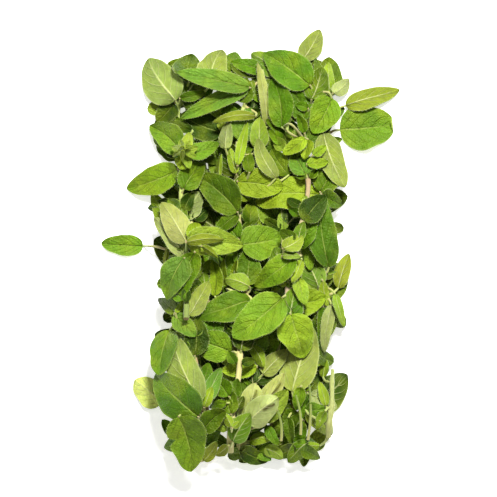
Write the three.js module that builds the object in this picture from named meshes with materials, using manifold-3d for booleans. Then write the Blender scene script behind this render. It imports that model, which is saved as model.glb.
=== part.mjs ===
// An oregano bunch: leafy cut stems lying together on a surface, their feet at -Y and their tips at +Y.
// Every sprig is one solid, its stem and leaves fused. Sprigs are laid one on another over a map of how
// high the heap already stands, so each leaf takes the slope at which it lies lowest and nothing crosses.
import * as THREE from "three";
import Module from "manifold-3d";

// Driving dimensions, in millimetres unless a comment says otherwise

// Leaves: thickness at the midrib, and where along a leaf of each width its sections are
const LEAF_THICK = 0.7;
const LEAF_WIDTH_SHARE = 0.64;
const SECTIONS = [
  { below: 5, stations: [0, 0.42] },
  { below: 10, stations: [0, 0.2, 0.62] },
  { below: 13, stations: [0, 0.14, 0.5, 0.83] },
  { below: 40, stations: [0, 0.1, 0.36, 0.66, 0.9] },
];

// Stalks: half their thickness, how far behind the leaf's base they start, and how far they may hump
const PETIOLE_HALF = 0.55;
const ROOT_BEHIND = 2;
const MOST_RISE = 14;

// The heap's map, and the room kept between pieces: a set gap, and more of it the steeper a leaf lies
const HEAP_HALF_X = 80;
const HEAP_HALF_Y = 110;
const LEAF_CLEAR = 0.32;
const STEM_CLEAR = 0.4;
const PAD_SHARE = 0.25;
const EDGE_MARGIN = 0.75;

// How pieces settle: slopes and rolls tried, how far a leaf is pressed in, how far a stem's stiffness reaches
const MOST_SLOPE = 1.1;
const MOST_ROLL = 0.6;
const SLOPE_STEP = 0.1;
const INNER_PRESS = 6;
const OUTER_PRESS = 2;
const STEM_STIFF = 14;
const BEND_ROUNDS = 32;

// The inner sprigs: their places across the bunch, where they run, and their leaves at foot and tip
const INNER_PLACES = [0, -1, 1, -0.55, 0.55];
const INNER_FOOT_Y = -90;
const INNER_TIP_Y = 76;
const INNER_FOOT_GAP = 17;
const INNER_TIP_GAP = 24;
const INNER_PAIRS = 7;
const INNER_FIRST_PAIR = 0.12;
const INNER_PAIR_SPAN = 0.84;
const INNER_STEM = [1.3, 0.6];
const INNER_LEAF = [23, 16];
const INNER_SEEDS = [9781, 12663, 15875, 19159, 21521];

// The small leaves that hide the stems of the outer sprigs
const COVER_STEP = 21;
const COVER_LEAF = [12, 4];
const COVER_STALK = 2;
const COVER_SEED = 500;

// The outline of the leafy body, which the inner leaves stay inside
const BODY_HALF = 41;
const BODY_TIP = 85;
const BODY_FOOT = -93;
const BODY_TAPER = 30;
const TIP_TAPER = 12;
const FOOT_TAPER = 14;

const LEAF_COLOUR = 0x5f9a26;

// The sprigs that show, lowest first. A leaf is its base x, y, its tip x, y, its width and the face turned up
const SPRIGS = [
  {
    name: "sprig_right",
    stem: [[20, -81.5], [21.5, -66.5], [25.5, -43.5], [28.5, -21.5], [28, -15], [28.5, 4],
      [28.5, 21], [31, 38.5], [33.5, 64]],
    radii: [1.3, 0.7],
    cover: true,
    leaves: [
      [23, -70.5, 33, -80, 9, "upper"],
      [20.5, -75.5, 13, -87.5, 8, "upper"],
      [24, -65, 35, -69.5, 8.5, "upper"],
      [19, -72, 9, -80, 9, "upper"],
      [21.5, 81, 29, 94.5, 9, "under"],
      [37, 51, 61, 53, 18.5, "upper"],
      [39.5, 61, 62.5, 68, 9, "under"],
      [33.5, 67, 33, 82.5, 10, "upper"],
      [31, 66, 27, 81, 4, "upper"],
      [33.5, 64, 32.5, 79, 5, "under"],
      [34, 65, 41, 73, 5.5, "under"],
      [28.5, 20.5, 1.5, 19, 14, "upper"],
      [28.5, 21.5, 34, 35, 10, "upper"],
      [29, 20, 37.5, 17, 6.5, "upper"],
      [29, 0, 19, 9, 10, "upper"],
      [23, 1, 24, -11.5, 5, "upper"],
      [36, -17.5, 41, -2.5, 6.5, "under"],
      [32, -10, 29, 19, 12, "upper"],
      [29.5, -27.5, 28, -46.5, 6, "upper"],
      [29.5, -16.5, 32, -27.5, 4, "under"],
      [14, -26, 31, -24, 12, "upper"],
      [33, -26.5, 29.5, -46, 5, "under"],
      [34.5, -22, 38, -35, 4, "under"],
      [16.5, -63.5, 25.5, -35, 14.5, "under"],
      [20, -62, 18, -71.5, 5, "upper"],
      [21.5, -86, 21, -92.5, 4.5, "upper"],
      [13, -86.5, 10, -89.5, 4, "under"],
      [15, -74.5, 17, -85, 4, "upper"],
      [19.5, -3, 25.5, 10.5, 7.5, "upper"],
    ],
  },
  {
    name: "sprig_edge",
    stem: [[31.5, -82], [32, -76], [33, -67.5], [33, -61.5], [33.5, -53]],
    radii: [1.15, 0.8],
    cover: false,
    leaves: [
      [22, -71.5, 30, -71.5, 5.5, "upper"],
      [30, -72.5, 27, -79.5, 4, "under"],
      [30.5, -70, 27.5, -59.5, 4, "under"],
      [29.5, -56, 30.5, -47.5, 3.5, "under"],
      [28, -85, 20, -85, 3, "under"],
    ],
  },
  {
    name: "sprig_low",
    stem: [[-5, -85], [-2, -74.5], [0.5, -63], [2, -51.5], [4.5, -37.5]],
    radii: [1.3, 0.7],
    cover: true,
    leaves: [
      [0.5, -83, 7.5, -83, 2.5, "under"],
      [-1, -82.5, 8.5, -82.5, 5, "under"],
      [-5, -86.5, 7, -90, 6.5, "upper"],
      [6, -77, 11, -85.5, 4, "upper"],
      [-2, -76, 13.5, -56, 8.5, "under"],
      [-2.5, -76.5, 1.5, -60.5, 10, "under"],
      [4.5, -76, 15, -63, 7.5, "upper"],
      [-2, -77, 11, -67, 10, "under"],
      [4.5, -56.5, 15, -46, 7.5, "under"],
      [2, -53.5, -12.5, -54.5, 7, "upper"],
      [0, -44, 4.5, -54, 5, "under"],
    ],
  },
  {
    name: "sprig_upper_left",
    stem: [[-15.5, -43.5], [-20.5, -14.5], [-26, 12], [-30, 38], [-31, 56.5], [-29.5, 66]],
    radii: [1.25, 0.65],
    cover: true,
    leaves: [
      [-34.5, 5.5, -42.5, 24, 7.5, "under"],
      [-29.5, 10.5, -22, 22.5, 9, "under"],
      [-25, 49.5, -37, 52, 5, "upper"],
      [-32.5, 61, -39.5, 53.5, 9, "upper"],
      [-29, 62, -19, 59.5, 6, "upper"],
      [-32, 61.5, -44.5, 81.5, 15, "under"],
      [-26.5, 70, -26, 84, 12, "upper"],
      [-17.5, 68, -13, 85, 12, "under"],
      [-30, 62, -19, 66, 4, "upper"],
    ],
  },
  {
    name: "sprig_centre",
    stem: [[-9, -87.5], [-8.5, -78], [-5, -51], [-5, -41.5], [-2.5, -23.5], [-4.5, -2],
      [-5.5, 11.5], [-6.5, 24.5], [-6, 41.5], [-4.5, 54.5], [0, 68]],
    radii: [1.3, 0.7],
    cover: true,
    leaves: [
      [-10, -86.5, -15, -89, 4, "under"],
      [-8.5, -80, -11.5, -74, 3.5, "under"],
      [-8, -80.5, -5, -77.5, 2.5, "under"],
      [-10.5, -70, -17.5, -70.5, 3.5, "upper"],
      [-9.5, -67, -15, -58.5, 6.5, "upper"],
      [-8.5, -47, -24.5, -41.5, 12, "upper"],
      [-0.5, -25, -22.5, -32, 12.5, "upper"],
      [-8, -15, -6, -8.5, 2.5, "upper"],
      [-11, -18.5, -11.5, -7, 3, "upper"],
      [-15.5, -23, -16, -7, 5.5, "upper"],
      [-1, -19.5, -11, -15.5, 7, "under"],
      [-4.5, -2, 12.5, 2.5, 14.5, "upper"],
      [-6, 11.5, -16, 4, 6.5, "upper"],
      [-1, 8, 0, 18, 6.5, "upper"],
      [-6, 18, -11.5, 17, 3.5, "under"],
      [-6, 25.5, 13, 22.5, 11.5, "upper"],
      [-13.5, 28.5, -12.5, 38, 2.5, "under"],
      [-6, 12.5, -24.5, 29.5, 12.5, "upper"],
      [2.5, 41, 2.5, 54, 7.5, "under"],
      [-1, 29, -3.5, 43, 5, "upper"],
      [-6.5, 29, -10, 41, 4, "under"],
      [-6, 32, -2, 51.5, 4, "under"],
      [-11, 39.5, -10, 52, 5.5, "under"],
      [15.5, 29, 8, 42, 7.5, "upper"],
      [10, 27, 2, 44.5, 7, "under"],
      [1.5, 54, -16.5, 51, 4.5, "under"],
      [4.5, 76, -9, 78, 6.5, "upper"],
      [6.5, 51.5, 2, 79, 4.5, "under"],
      [-1.5, 66.5, -29.5, 53.5, 7.5, "upper"],
      [-1, 66.5, -31.5, 72, 9, "upper"],
    ],
  },
  {
    name: "sprig_left",
    stem: [[-21.5, -90.5], [-19, -73], [-23, -54], [-26, -37.5], [-27, -23], [-28.5, -7],
      [-29.5, 19], [-28.5, 37.5]],
    radii: [1.3, 0.7],
    cover: true,
    leaves: [
      [-23, -81, -36, -86, 9, "upper"],
      [-20, -81, -11, -73, 8, "upper"],
      [-20, -91.5, -14.5, -84.5, 4.5, "under"],
      [-37.5, -66.5, -49, -56.5, 11.5, "under"],
      [-20, -70, -13, -54, 6.5, "under"],
      [-19.5, -72, -16.5, -63.5, 4, "under"],
      [-22, -73.5, -27, -62.5, 2.5, "under"],
      [-21.5, -70.5, -34, -39, 12.5, "under"],
      [-22, -76, -40, -56.5, 14.5, "upper"],
      [-30, -76, -24.5, -96.5, 15, "upper"],
      [-32, -31, -39, -22.5, 5, "upper"],
      [-34, -37.5, -38, -58, 10.5, "upper"],
      [-32, -32, -23, -41.5, 7.5, "upper"],
      [-26, -33, -18, -17, 7.5, "under"],
      [-31.5, -31.5, -27, -24.5, 2.5, "under"],
      [-45.5, 1, -63, 2, 8.5, "upper"],
      [-31, 31, -52.5, 25.5, 12, "upper"],
      [-29.5, 37, -28.5, 30, 6.5, "upper"],
      [-29.5, 39, -43, 52.5, 10, "upper"],
      [-27.5, 37.5, -13.5, 42.5, 7.5, "upper"],
      [-28.5, 37.5, -26, 47.5, 5, "under"],
    ],
  },
  {
    name: "sprig_left_middle",
    stem: [[-27, -35], [-27, -20.5], [-27, -8], [-27.5, -1.5]],
    radii: [1.2, 0.8],
    cover: false,
    leaves: [
      [-36.5, -8, -35, -1.5, 2, "under"],
      [-27.5, -7.5, -40.5, 11.5, 7.5, "under"],
      [-27, -2.5, -37.5, 18.5, 10, "under"],
      [-25, -1.5, -22, 7.5, 6, "upper"],
      [-27, -2.5, -3.5, -3, 11, "upper"],
      [-27, -3.5, -11.5, -1.5, 4, "under"],
      [-20.5, -5, -14, -9, 2.5, "under"],
      [-23.5, -7, -29.5, -25, 10, "upper"],
      [-28, -9.5, -35.5, -25.5, 11.5, "upper"],
    ],
  },
  {
    name: "sprig_right_middle",
    stem: [[15, -44], [15, -22.5], [19.5, 0], [23.5, 25], [22.5, 34], [22.5, 46],
      [24.5, 59], [25, 66]],
    radii: [1.3, 0.7],
    cover: true,
    leaves: [
      [16, -33, 22, -49.5, 14.5, "upper"],
      [19, -17.5, 22, -28.5, 6, "upper"],
      [20.5, -10, 16.5, -20.5, 4, "under"],
      [12.5, -26, -7.5, -42.5, 16, "upper"],
      [17.5, -9.5, 1.5, -19.5, 11, "upper"],
      [12.5, -9, 20, -10, 3.5, "under"],
      [13, -6, 21, 0, 7.5, "under"],
      [30, 47.5, 39, 23.5, 11, "under"],
      [23, 33, 32, 34.5, 5, "upper"],
      [25.5, 36.5, 31, 41.5, 4, "upper"],
      [23.5, 44, 22, 35, 5.5, "upper"],
      [22.5, 44, 13, 38, 6.5, "upper"],
      [33.5, 62.5, 25.5, 47, 12, "upper"],
      [12.5, 51, 6, 54, 4, "upper"],
      [22, 47, 19, 55, 4, "upper"],
      [12.5, 50.5, 9, 72.5, 10, "upper"],
      [23.5, 57.5, 18.5, 59.5, 4, "upper"],
      [24.5, 67.5, 5, 84, 14.5, "upper"],
    ],
  },
];

// A repeatable stream of numbers from 0 to 1: the same seed gives the same numbers
function draws(seed) {
  let state = seed * 7919 + 104729;
  const next = () => {
    state = (state * 1664525 + 1013904223) % 4294967296;
    return state / 4294967296;
  };
  for (let i = 0; i < 3; i++) next();
  return next;
}

// The heap: the height of what has been laid so far, in cells of one millimetre
const COLUMNS = 2 * HEAP_HALF_X + 1;
const ROWS = 2 * HEAP_HALF_Y + 1;
const heap = new Float64Array(COLUMNS * ROWS);

function cellOf(x, y) {
  const column = Math.min(COLUMNS - 1, Math.max(0, Math.floor(x + HEAP_HALF_X + 0.5)));
  const row = Math.min(ROWS - 1, Math.max(0, Math.floor(y + HEAP_HALF_Y + 0.5)));
  return row * COLUMNS + column;
}

function pile(cell, top) {
  const height = Math.floor(top * 1e6 + 0.5) / 1e6;
  if (height > heap[cell]) heap[cell] = height;
}

// Half the width of an ovate leaf, as a share of its widest, at a share u of the way to its tip
function outline(u) {
  if (u <= 0 || u >= 1) return 0;
  return Math.pow(Math.sin(Math.PI * Math.pow(u, 0.7)), 0.68);
}

// A leaf's own shape before it is laid: its midrib bows and arches, its halves fold, and its edge waves
function leafForm(spec, seed) {
  const [x, y, tipX, tipY, width, face] = spec;
  const next = draws(seed);
  const length = Math.hypot(tipX - x, tipY - y);
  const turned = face === "under";
  const form = {
    x, y, length, width, turned,
    alongX: (tipX - x) / length,
    alongY: (tipY - y) / length,
    arch: length * (0.05 + 0.09 * next()),
    fold: turned ? -0.1 - 0.2 * next() : 0.02 + 0.3 * next(),
    bow: length * 0.14 * (next() - 0.5),
    wave: width * (0.02 + 0.03 * next()),
    phase: next(),
    slope: 0.15 - 0.4 * next(),
    roll: 0.5 * (next() - 0.5),
  };
  const { stations } = SECTIONS.find((kind) => width < kind.below);
  form.rings = [...stations, 1].map((u) => ringOf(form, u));
  form.own = form.rings.flatMap((ring) => [ring.left, ring.rib, ring.right]);
  return form;
}

// One section across a leaf: its half width, the height of its midrib and the heights of its two edges
function ringOf(form, u) {
  const half = u === 0 ? PETIOLE_HALF : (form.width / 2) * outline(u);
  const rib = form.arch * 4 * u * (1 - u);
  const ripple = (side) => form.wave * Math.sin(2 * Math.PI * (1.6 * u + form.phase) + 1.3 * side);
  return {
    u,
    half,
    rib,
    left: rib + form.fold * half + ripple(-1) * outline(u),
    right: rib + form.fold * half + ripple(1) * outline(u),
    bow: form.bow * 4 * u * (1 - u),
  };
}

// The cells that a leaf covers: each one's place along and across it, its height in the leaf's own shape,
// and its share in the heights of the four nearest points of the sections
function leafCells(form) {
  const { x, y, length, alongX, alongY, rings } = form;
  const reach = length + form.width;
  const last = rings.length - 1;
  const found = [];
  for (let cellX = Math.floor(x - reach); cellX <= x + reach; cellX++)
    for (let cellY = Math.floor(y - reach); cellY <= y + reach; cellY++) {
      const along = (cellX - x) * alongX + (cellY - y) * alongY;
      const u = along / length;
      if (u < -EDGE_MARGIN / length || u > 1 + EDGE_MARGIN / length) continue;
      const inside = Math.min(1, Math.max(0, u));
      let k = 0;
      while (k < last - 1 && rings[k + 1].u < inside) k++;
      const near = rings[k];
      const far = rings[k + 1];
      const t = (inside - near.u) / (far.u - near.u);
      const bow = near.bow + (far.bow - near.bow) * t;
      const across = (cellY - y) * alongX - (cellX - x) * alongY - bow;
      const half = near.half + (far.half - near.half) * t;
      if (Math.abs(across) > half + EDGE_MARGIN) continue;
      const share = half > 0 ? Math.min(1, Math.abs(across) / half) : 0;
      const side = across < 0 ? 2 : 0;
      const weights = [
        [3 * k + 1, (1 - t) * (1 - share)],
        [3 * k + side, (1 - t) * share],
        [3 * k + 4, t * (1 - share)],
        [3 * k + 3 + side, t * share],
      ];
      let height = 0;
      for (const [point, weight] of weights) height += weight * form.own[point];
      found.push({ cell: cellOf(cellX, cellY), along: inside * length, across, height, weights });
    }
  return found;
}

// Lays a leaf on the heap: it takes the slope and roll at which it lies lowest for the least strain, is
// pressed in, and then bends up wherever something under it still stands in its way
function layLeaf(spec, seed, press, root) {
  const form = leafForm(spec, seed);
  const cells = leafCells(form);
  const { length, width, slope, roll } = form;
  const stalk = root ? Math.hypot(root.x - form.x, root.y - form.y) : 0;
  const needs = cells.map((c) => (heap[c.cell] > 0 ? heap[c.cell] + LEAF_CLEAR : 0) + LEAF_THICK / 2);
  let best = null;
  for (let a = -MOST_SLOPE; a < MOST_SLOPE + 0.01; a += SLOPE_STEP)
    for (let r = -MOST_ROLL; r < MOST_ROLL + 0.01; r += SLOPE_STEP) {
      let highest = -1e9;
      let sum = 0;
      for (let i = 0; i < cells.length; i++) {
        const c = cells[i];
        const base = needs[i] - c.height - a * c.along - r * c.across;
        if (base > highest) highest = base;
        sum += base;
      }
      let base = Math.max(sum / cells.length, highest - press);
      if (root) base = Math.max(base, root.z - 1.5 - 0.8 * stalk);
      const strain = length * (a - slope) ** 2 + width * (r - roll) ** 2;
      const reach = root ? Math.max(0, base - root.z - 1 - 0.7 * stalk) : 0;
      const value = base + (a * length) / 2 + 0.35 * strain + 0.5 * reach + 0.3 * (highest - base);
      const cost = Math.floor(value * 1e5 + 0.5);
      if (!best || cost < best.cost) best = { cost, a, r, base };
    }
  const steepness = Math.abs(best.a) + Math.abs(best.r) + Math.abs(form.fold) + (2 * form.arch) / length;
  const pad = PAD_SHARE * steepness;
  const level = form.own.map((own, point) => {
    const ring = form.rings[Math.floor(point / 3)];
    return best.base + own + best.a * ring.u * length + best.r * ring.half * (1 - (point % 3));
  });
  const heightAt = (c) => c.weights.reduce((sum, [point, weight]) => sum + weight * level[point], 0);
  for (let round = 0; round < BEND_ROUNDS; round++) {
    const raise = new Float64Array(level.length);
    cells.forEach((c, i) => {
      const short = needs[i] + (heap[c.cell] > 0 ? 2 * pad : 0) - heightAt(c);
      if (short <= 0) return;
      for (const [point, weight] of c.weights) raise[point] = Math.max(raise[point], weight * short);
    });
    joinEnds(raise);
    for (let i = 0; i < level.length; i++) level[i] += raise[i];
  }
  let lift = 0;
  cells.forEach((c, i) => {
    lift = Math.max(lift, needs[i] + (heap[c.cell] > 0 ? 2 * pad : 0) - heightAt(c));
  });
  for (const height of level) lift = Math.max(lift, LEAF_THICK / 2 - height);
  for (let i = 0; i < level.length; i++) level[i] = Math.floor((level[i] + lift) * 1e6 + 0.5) / 1e6;
  for (const c of cells) pile(c.cell, heightAt(c) + LEAF_THICK / 2 + pad);
  form.level = level;
  form.z = level[1];
  return form;
}

// At its base and its tip a leaf is too narrow for its edges to bend apart
function joinEnds(raise) {
  for (const start of [0, raise.length - 3]) {
    const most = Math.max(raise[start], raise[start + 1], raise[start + 2]);
    raise.fill(most, start, start + 3);
  }
}

// A point of a laid leaf's section: 0 at its left edge, 1 on its midrib, 2 at its right edge
function leafPoint(form, k, point) {
  const ring = form.rings[k];
  const along = ring.u * form.length;
  const across = (1 - point) * ring.half + ring.bow;
  return new THREE.Vector3(
    form.x + form.alongX * along - form.alongY * across,
    form.y + form.alongY * along + form.alongX * across,
    form.level[3 * k + point],
  );
}

// A stem's path: straight between its plan points, at the mean height of what lies under each stretch, and
// raised wherever it would still run into something
function layStem(points, radii) {
  const path = points.map(([x, y]) => ({ x, y }));
  path[0].s = 0;
  for (let i = 1; i < path.length; i++)
    path[i].s = path[i - 1].s + Math.hypot(path[i].x - path[i - 1].x, path[i].y - path[i - 1].y);
  const total = path[path.length - 1].s;
  const radiusAt = (s) => radii[0] + (radii[1] - radii[0]) * (s / total);
  const steps = Math.ceil(total);
  const needs = [];
  for (let i = 0; i <= steps; i++) {
    const s = (total * i) / steps;
    const r = radiusAt(s);
    const below = Math.max(...cellsAround(pathPlan(path, s), r).map((cell) => heap[cell]));
    needs.push({ s, z: below + (below > 0 ? STEM_CLEAR : 0) + r });
  }
  for (const p of path) {
    const near = needs.filter((n) => Math.abs(n.s - p.s) <= STEM_STIFF);
    p.z = near.reduce((sum, n) => sum + n.z, 0) / near.length;
    p.r = radiusAt(p.s);
  }
  for (let round = 0; round < BEND_ROUNDS; round++) {
    const raise = path.map(() => 0);
    for (const n of needs) {
      const k = pathPart(path, n.s);
      const t = (n.s - path[k].s) / (path[k + 1].s - path[k].s);
      const short = n.z - pathHeight(path, n.s);
      raise[k] = Math.max(raise[k], (1 - t) * short);
      raise[k + 1] = Math.max(raise[k + 1], t * short);
    }
    path.forEach((p, i) => {
      p.z += raise[i];
    });
  }
  const lift = Math.max(...needs.map((n) => n.z - pathHeight(path, n.s)));
  for (const p of path) p.z = Math.floor((p.z + (lift > 1e-6 ? lift : 0)) * 1e6 + 0.5) / 1e6;
  for (let i = 0; i <= steps; i++) {
    const s = (total * i) / steps;
    const r = radiusAt(s);
    for (const cell of cellsAround(pathPlan(path, s), r)) pile(cell, pathHeight(path, s) + r);
  }
  return path;
}

// The cells under a stem of half thickness r at a point of its path
function cellsAround({ x, y }, r) {
  const found = [];
  for (let dx = -2; dx <= 2; dx++)
    for (let dy = -2; dy <= 2; dy++)
      if (dx * dx + dy * dy <= (1.2 * r + EDGE_MARGIN) ** 2) found.push(cellOf(x + dx, y + dy));
  return found;
}

function pathPart(path, s) {
  let k = 0;
  while (k < path.length - 2 && path[k + 1].s < s) k++;
  return k;
}

function pathPlan(path, s) {
  const k = pathPart(path, s);
  const t = (s - path[k].s) / (path[k + 1].s - path[k].s);
  return { x: path[k].x + (path[k + 1].x - path[k].x) * t, y: path[k].y + (path[k + 1].y - path[k].y) * t };
}

function pathHeight(path, s) {
  const k = pathPart(path, s);
  const t = (s - path[k].s) / (path[k + 1].s - path[k].s);
  return path[k].z + (path[k + 1].z - path[k].z) * t;
}

// Where a leaf's stalk leaves the stem: beside the leaf's base and a little behind it, as the leaf points
function rootOf(points, [x, y, tipX, tipY]) {
  let best = null;
  let before = 0;
  for (let i = 1; i < points.length; i++) {
    const [ax, ay] = points[i - 1];
    const [bx, by] = points[i];
    const length = Math.hypot(bx - ax, by - ay);
    const t = Math.min(1, Math.max(0, ((x - ax) * (bx - ax) + (y - ay) * (by - ay)) / length ** 2));
    const away = Math.hypot(x - ax - (bx - ax) * t, y - ay - (by - ay) * t);
    const ahead = (tipX - x) * (bx - ax) + (tipY - y) * (by - ay) >= 0 ? 1 : -1;
    if (!best || away < best.away - 1e-6) best = { away, ahead, s: before + t * length };
    before += length;
  }
  const behind = best.s - best.ahead * (ROOT_BEHIND + 0.3 * best.away);
  return Math.max(0.6, Math.min(before - 0.6, behind));
}

// A closed solid from sections of the same number of points, capped at both ends or run to a point
function loft(sections, tip) {
  const count = sections[0].length;
  const positions = sections.flat().flatMap((p) => [p.x, p.y, p.z]);
  const faces = [];
  for (let k = 0; k + 1 < sections.length; k++)
    for (let j = 0; j < count; j++) {
      const a = k * count + j;
      const b = k * count + ((j + 1) % count);
      const upper = j < count / 2;
      if (upper) faces.push(a, b, b + count, a, b + count, a + count);
      else faces.push(a, b, a + count, b, b + count, a + count);
    }
  const last = (sections.length - 1) * count;
  for (let j = 1; j + 1 < count; j++) faces.push(0, j + 1, j);
  if (tip) {
    positions.push(tip.x, tip.y, tip.z);
    for (let j = 0; j < count; j++) faces.push(last + j, last + ((j + 1) % count), last + count);
  } else for (let j = 1; j + 1 < count; j++) faces.push(last, last + j, last + j + 1);
  return { positions, faces };
}

// The stalk from the stem to a leaf's base: it bends once, to arrive along the leaf, and clears what is below
function petioleOf(root, form, earlier) {
  const away = Math.hypot(form.x - root.x, form.y - root.y);
  const back = Math.min(3, 0.45 * away);
  const middle = {
    x: 0.25 * root.x + 0.5 * (form.x - form.alongX * back) + 0.25 * form.x,
    y: 0.25 * root.y + 0.5 * (form.y - form.alongY * back) + 0.25 * form.y,
    z: 0.5 * (root.z + form.z),
  };
  const base = { x: form.x, y: form.y, z: form.z };
  const steps = Math.max(10, Math.ceil(2 * away));
  let rise = 0;
  for (let i = 1; i < steps; i++) {
    const t = i / steps;
    const p = between(root, middle, base, t);
    const below = Math.max(...cellsAround(p, PETIOLE_HALF).map((cell) => earlier[cell]));
    if (below > 0) rise = Math.max(rise, (below + PETIOLE_HALF + 0.3 - p.z) / (1 - Math.abs(2 * t - 1)));
  }
  middle.z = Math.max(middle.z + Math.min(rise, MOST_RISE), PETIOLE_HALF);
  for (let i = 1; i < steps; i++) {
    const p = between(root, middle, base, i / steps);
    for (const cell of cellsAround(p, PETIOLE_HALF)) pile(cell, p.z + PETIOLE_HALF);
  }
  return away > 2.5 ? [root, middle] : [root];
}

// A point at a share t of the way along two straight stretches
function between(a, b, c, t) {
  const [from, to, share] = t < 0.5 ? [a, b, 2 * t] : [b, c, 2 * t - 1];
  return {
    x: from.x + (to.x - from.x) * share,
    y: from.y + (to.y - from.y) * share,
    z: from.z + (to.z - from.z) * share,
  };
}

// The solid of one leaf with its stalk: diamond sections, thickest at the midrib
function leafSolid(form, stalk) {
  const sections = stalk.map((p, i) => {
    const next = stalk[i + 1] || form;
    const away = Math.hypot(next.x - p.x, next.y - p.y) || 1;
    const across = new THREE.Vector3(-(next.y - p.y) / away, (next.x - p.x) / away, 0);
    const centre = new THREE.Vector3(p.x, p.y, p.z);
    return diamond(
      centre.clone().addScaledVector(across, PETIOLE_HALF),
      centre,
      centre.clone().addScaledVector(across, -PETIOLE_HALF),
      PETIOLE_HALF,
    );
  });
  const last = form.rings.length - 1;
  for (let k = 0; k < last; k++) {
    const [left, middle, right] = [0, 1, 2].map((point) => leafPoint(form, k, point));
    sections.push(diamond(left, middle, right, LEAF_THICK / 2));
  }
  return loft(sections, leafPoint(form, last, 1));
}

function diamond(left, middle, right, half) {
  const up = new THREE.Vector3(0, 0, half);
  return [left, middle.clone().add(up), right, middle.clone().sub(up)];
}

// The solid of a stem: square, as the stems of this family of herbs are, lying flat, cut across at the foot
function stemSolid(path) {
  const corners = [[1, 1], [-1, 1], [-1, -1], [1, -1]];
  const sections = path.map((p, i) => {
    const before = path[Math.max(0, i - 1)];
    const after = path[Math.min(path.length - 1, i + 1)];
    const away = Math.hypot(after.x - before.x, after.y - before.y);
    const across = new THREE.Vector3(-(after.y - before.y) / away, (after.x - before.x) / away, 0);
    return corners.map(([side, up]) =>
      new THREE.Vector3(p.x, p.y, p.z + up * p.r).addScaledVector(across, side * p.r),
    );
  });
  return loft(sections);
}

// Leaves by rule along a sprig's stem, under its larger ones: they lean along it, left and right in turn
function coverLeaves(stem, seed) {
  const next = draws(seed);
  const leaves = [];
  let side = 1;
  for (let i = 1; i < stem.length; i++) {
    const [ax, ay] = stem[i - 1];
    const [bx, by] = stem[i];
    const length = Math.hypot(bx - ax, by - ay);
    const heading = Math.atan2(by - ay, bx - ax);
    const count = Math.max(1, Math.round(length / COVER_STEP));
    for (let k = 0; k < count; k++) {
      const t = (k + 0.5 * next()) / count;
      side = -side;
      const angle = heading + side * (0.1 + 0.5 * next());
      const reach = COVER_LEAF[0] + COVER_LEAF[1] * next();
      const x = ax + (bx - ax) * t + COVER_STALK * Math.cos(angle);
      const y = ay + (by - ay) * t + COVER_STALK * Math.sin(angle);
      const face = next() < 0.4 ? "under" : "upper";
      const tipX = x + reach * Math.cos(angle);
      const tipY = y + reach * Math.sin(angle);
      leaves.push([x, y, tipX, tipY, reach * LEAF_WIDTH_SHARE, face]);
    }
  }
  return leaves;
}

// The inner sprigs, by rule: they fan out from the feet, with leaves in opposite pairs, every second pair
// lying above and below the stem
function innerSprig(index) {
  const next = draws(INNER_SEEDS[index]);
  const place = INNER_PLACES[index];
  const footX = place * INNER_FOOT_GAP + 4 * (next() - 0.5);
  const tipX = place * INNER_TIP_GAP + 8 * (next() - 0.5);
  const footY = INNER_FOOT_Y + 5 * next();
  const tipY = INNER_TIP_Y - 6 * Math.abs(place) - 8 * next() + 1.2 * index;
  const bend = 5 * (next() - 0.5);
  const stem = [];
  for (let i = 0; i <= 7; i++) {
    const t = i / 7;
    stem.push([footX + (tipX - footX) * t + bend * 4 * t * (1 - t), footY + (tipY - footY) * t]);
  }
  const heading = Math.atan2(tipY - footY, tipX - footX);
  const leaves = [];
  for (let pair = 0; pair < INNER_PAIRS; pair++) {
    const t = INNER_FIRST_PAIR + (INNER_PAIR_SPAN * pair) / (INNER_PAIRS - 1) + 0.02 * next();
    const k = Math.min(6, Math.floor(t * 7));
    const share = t * 7 - k;
    const x = stem[k][0] + (stem[k + 1][0] - stem[k][0]) * share;
    const y = stem[k][1] + (stem[k + 1][1] - stem[k][1]) * share;
    const level = (pair + index) % 2 === 0;
    for (const side of [-1, 1]) {
      const angle = heading + side * (level ? 0.9 + 0.45 * next() : 0.15 + 0.4 * next());
      const length = (INNER_LEAF[0] + (INNER_LEAF[1] - INNER_LEAF[0]) * t) * (0.85 + 0.3 * next());
      const stalk = 2.5 + 2 * next();
      const face = next() < 0.35 ? "under" : "upper";
      const baseX = x + stalk * Math.cos(angle);
      const baseY = y + stalk * Math.sin(angle);
      const reach = Math.min(length, roomFor(baseX, baseY, angle, length));
      if (reach < 7) continue;
      leaves.push([
        baseX,
        baseY,
        baseX + reach * Math.cos(angle),
        baseY + reach * Math.sin(angle),
        Math.min(length, reach + 3) * LEAF_WIDTH_SHARE,
        face,
        !level && side > 0 && index > 0 ? "below" : "above",
      ]);
    }
  }
  return { name: `sprig_inner_${index + 1}`, stem, radii: INNER_STEM, press: INNER_PRESS, leaves };
}

// How far a leaf may reach before it leaves the outline of the bunch
function roomFor(x, y, angle, length) {
  let reach = length;
  while (reach > 0) {
    const tipX = x + reach * Math.cos(angle);
    const tipY = y + reach * Math.sin(angle);
    if (Math.abs(tipX) < halfWidthAt(tipY)) return reach;
    reach -= 1;
  }
  return 0;
}

// Half the width of the bunch's leafy body at a distance along it
function halfWidthAt(y) {
  if (y > BODY_TIP || y < BODY_FOOT) return 0;
  if (y > BODY_TIP - BODY_TAPER) return BODY_HALF - TIP_TAPER * (1 - (BODY_TIP - y) / BODY_TAPER);
  if (y < BODY_FOOT + BODY_TAPER) return BODY_HALF - FOOT_TAPER * (1 - (y - BODY_FOOT) / BODY_TAPER);
  return BODY_HALF;
}

// Fusing can seal a small hollow between leaves: the largest body alone has it filled
function largestBody(whole) {
  return whole.decompose().reduce((most, body) => (body.volume() > most.volume() ? body : most));
}

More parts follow.
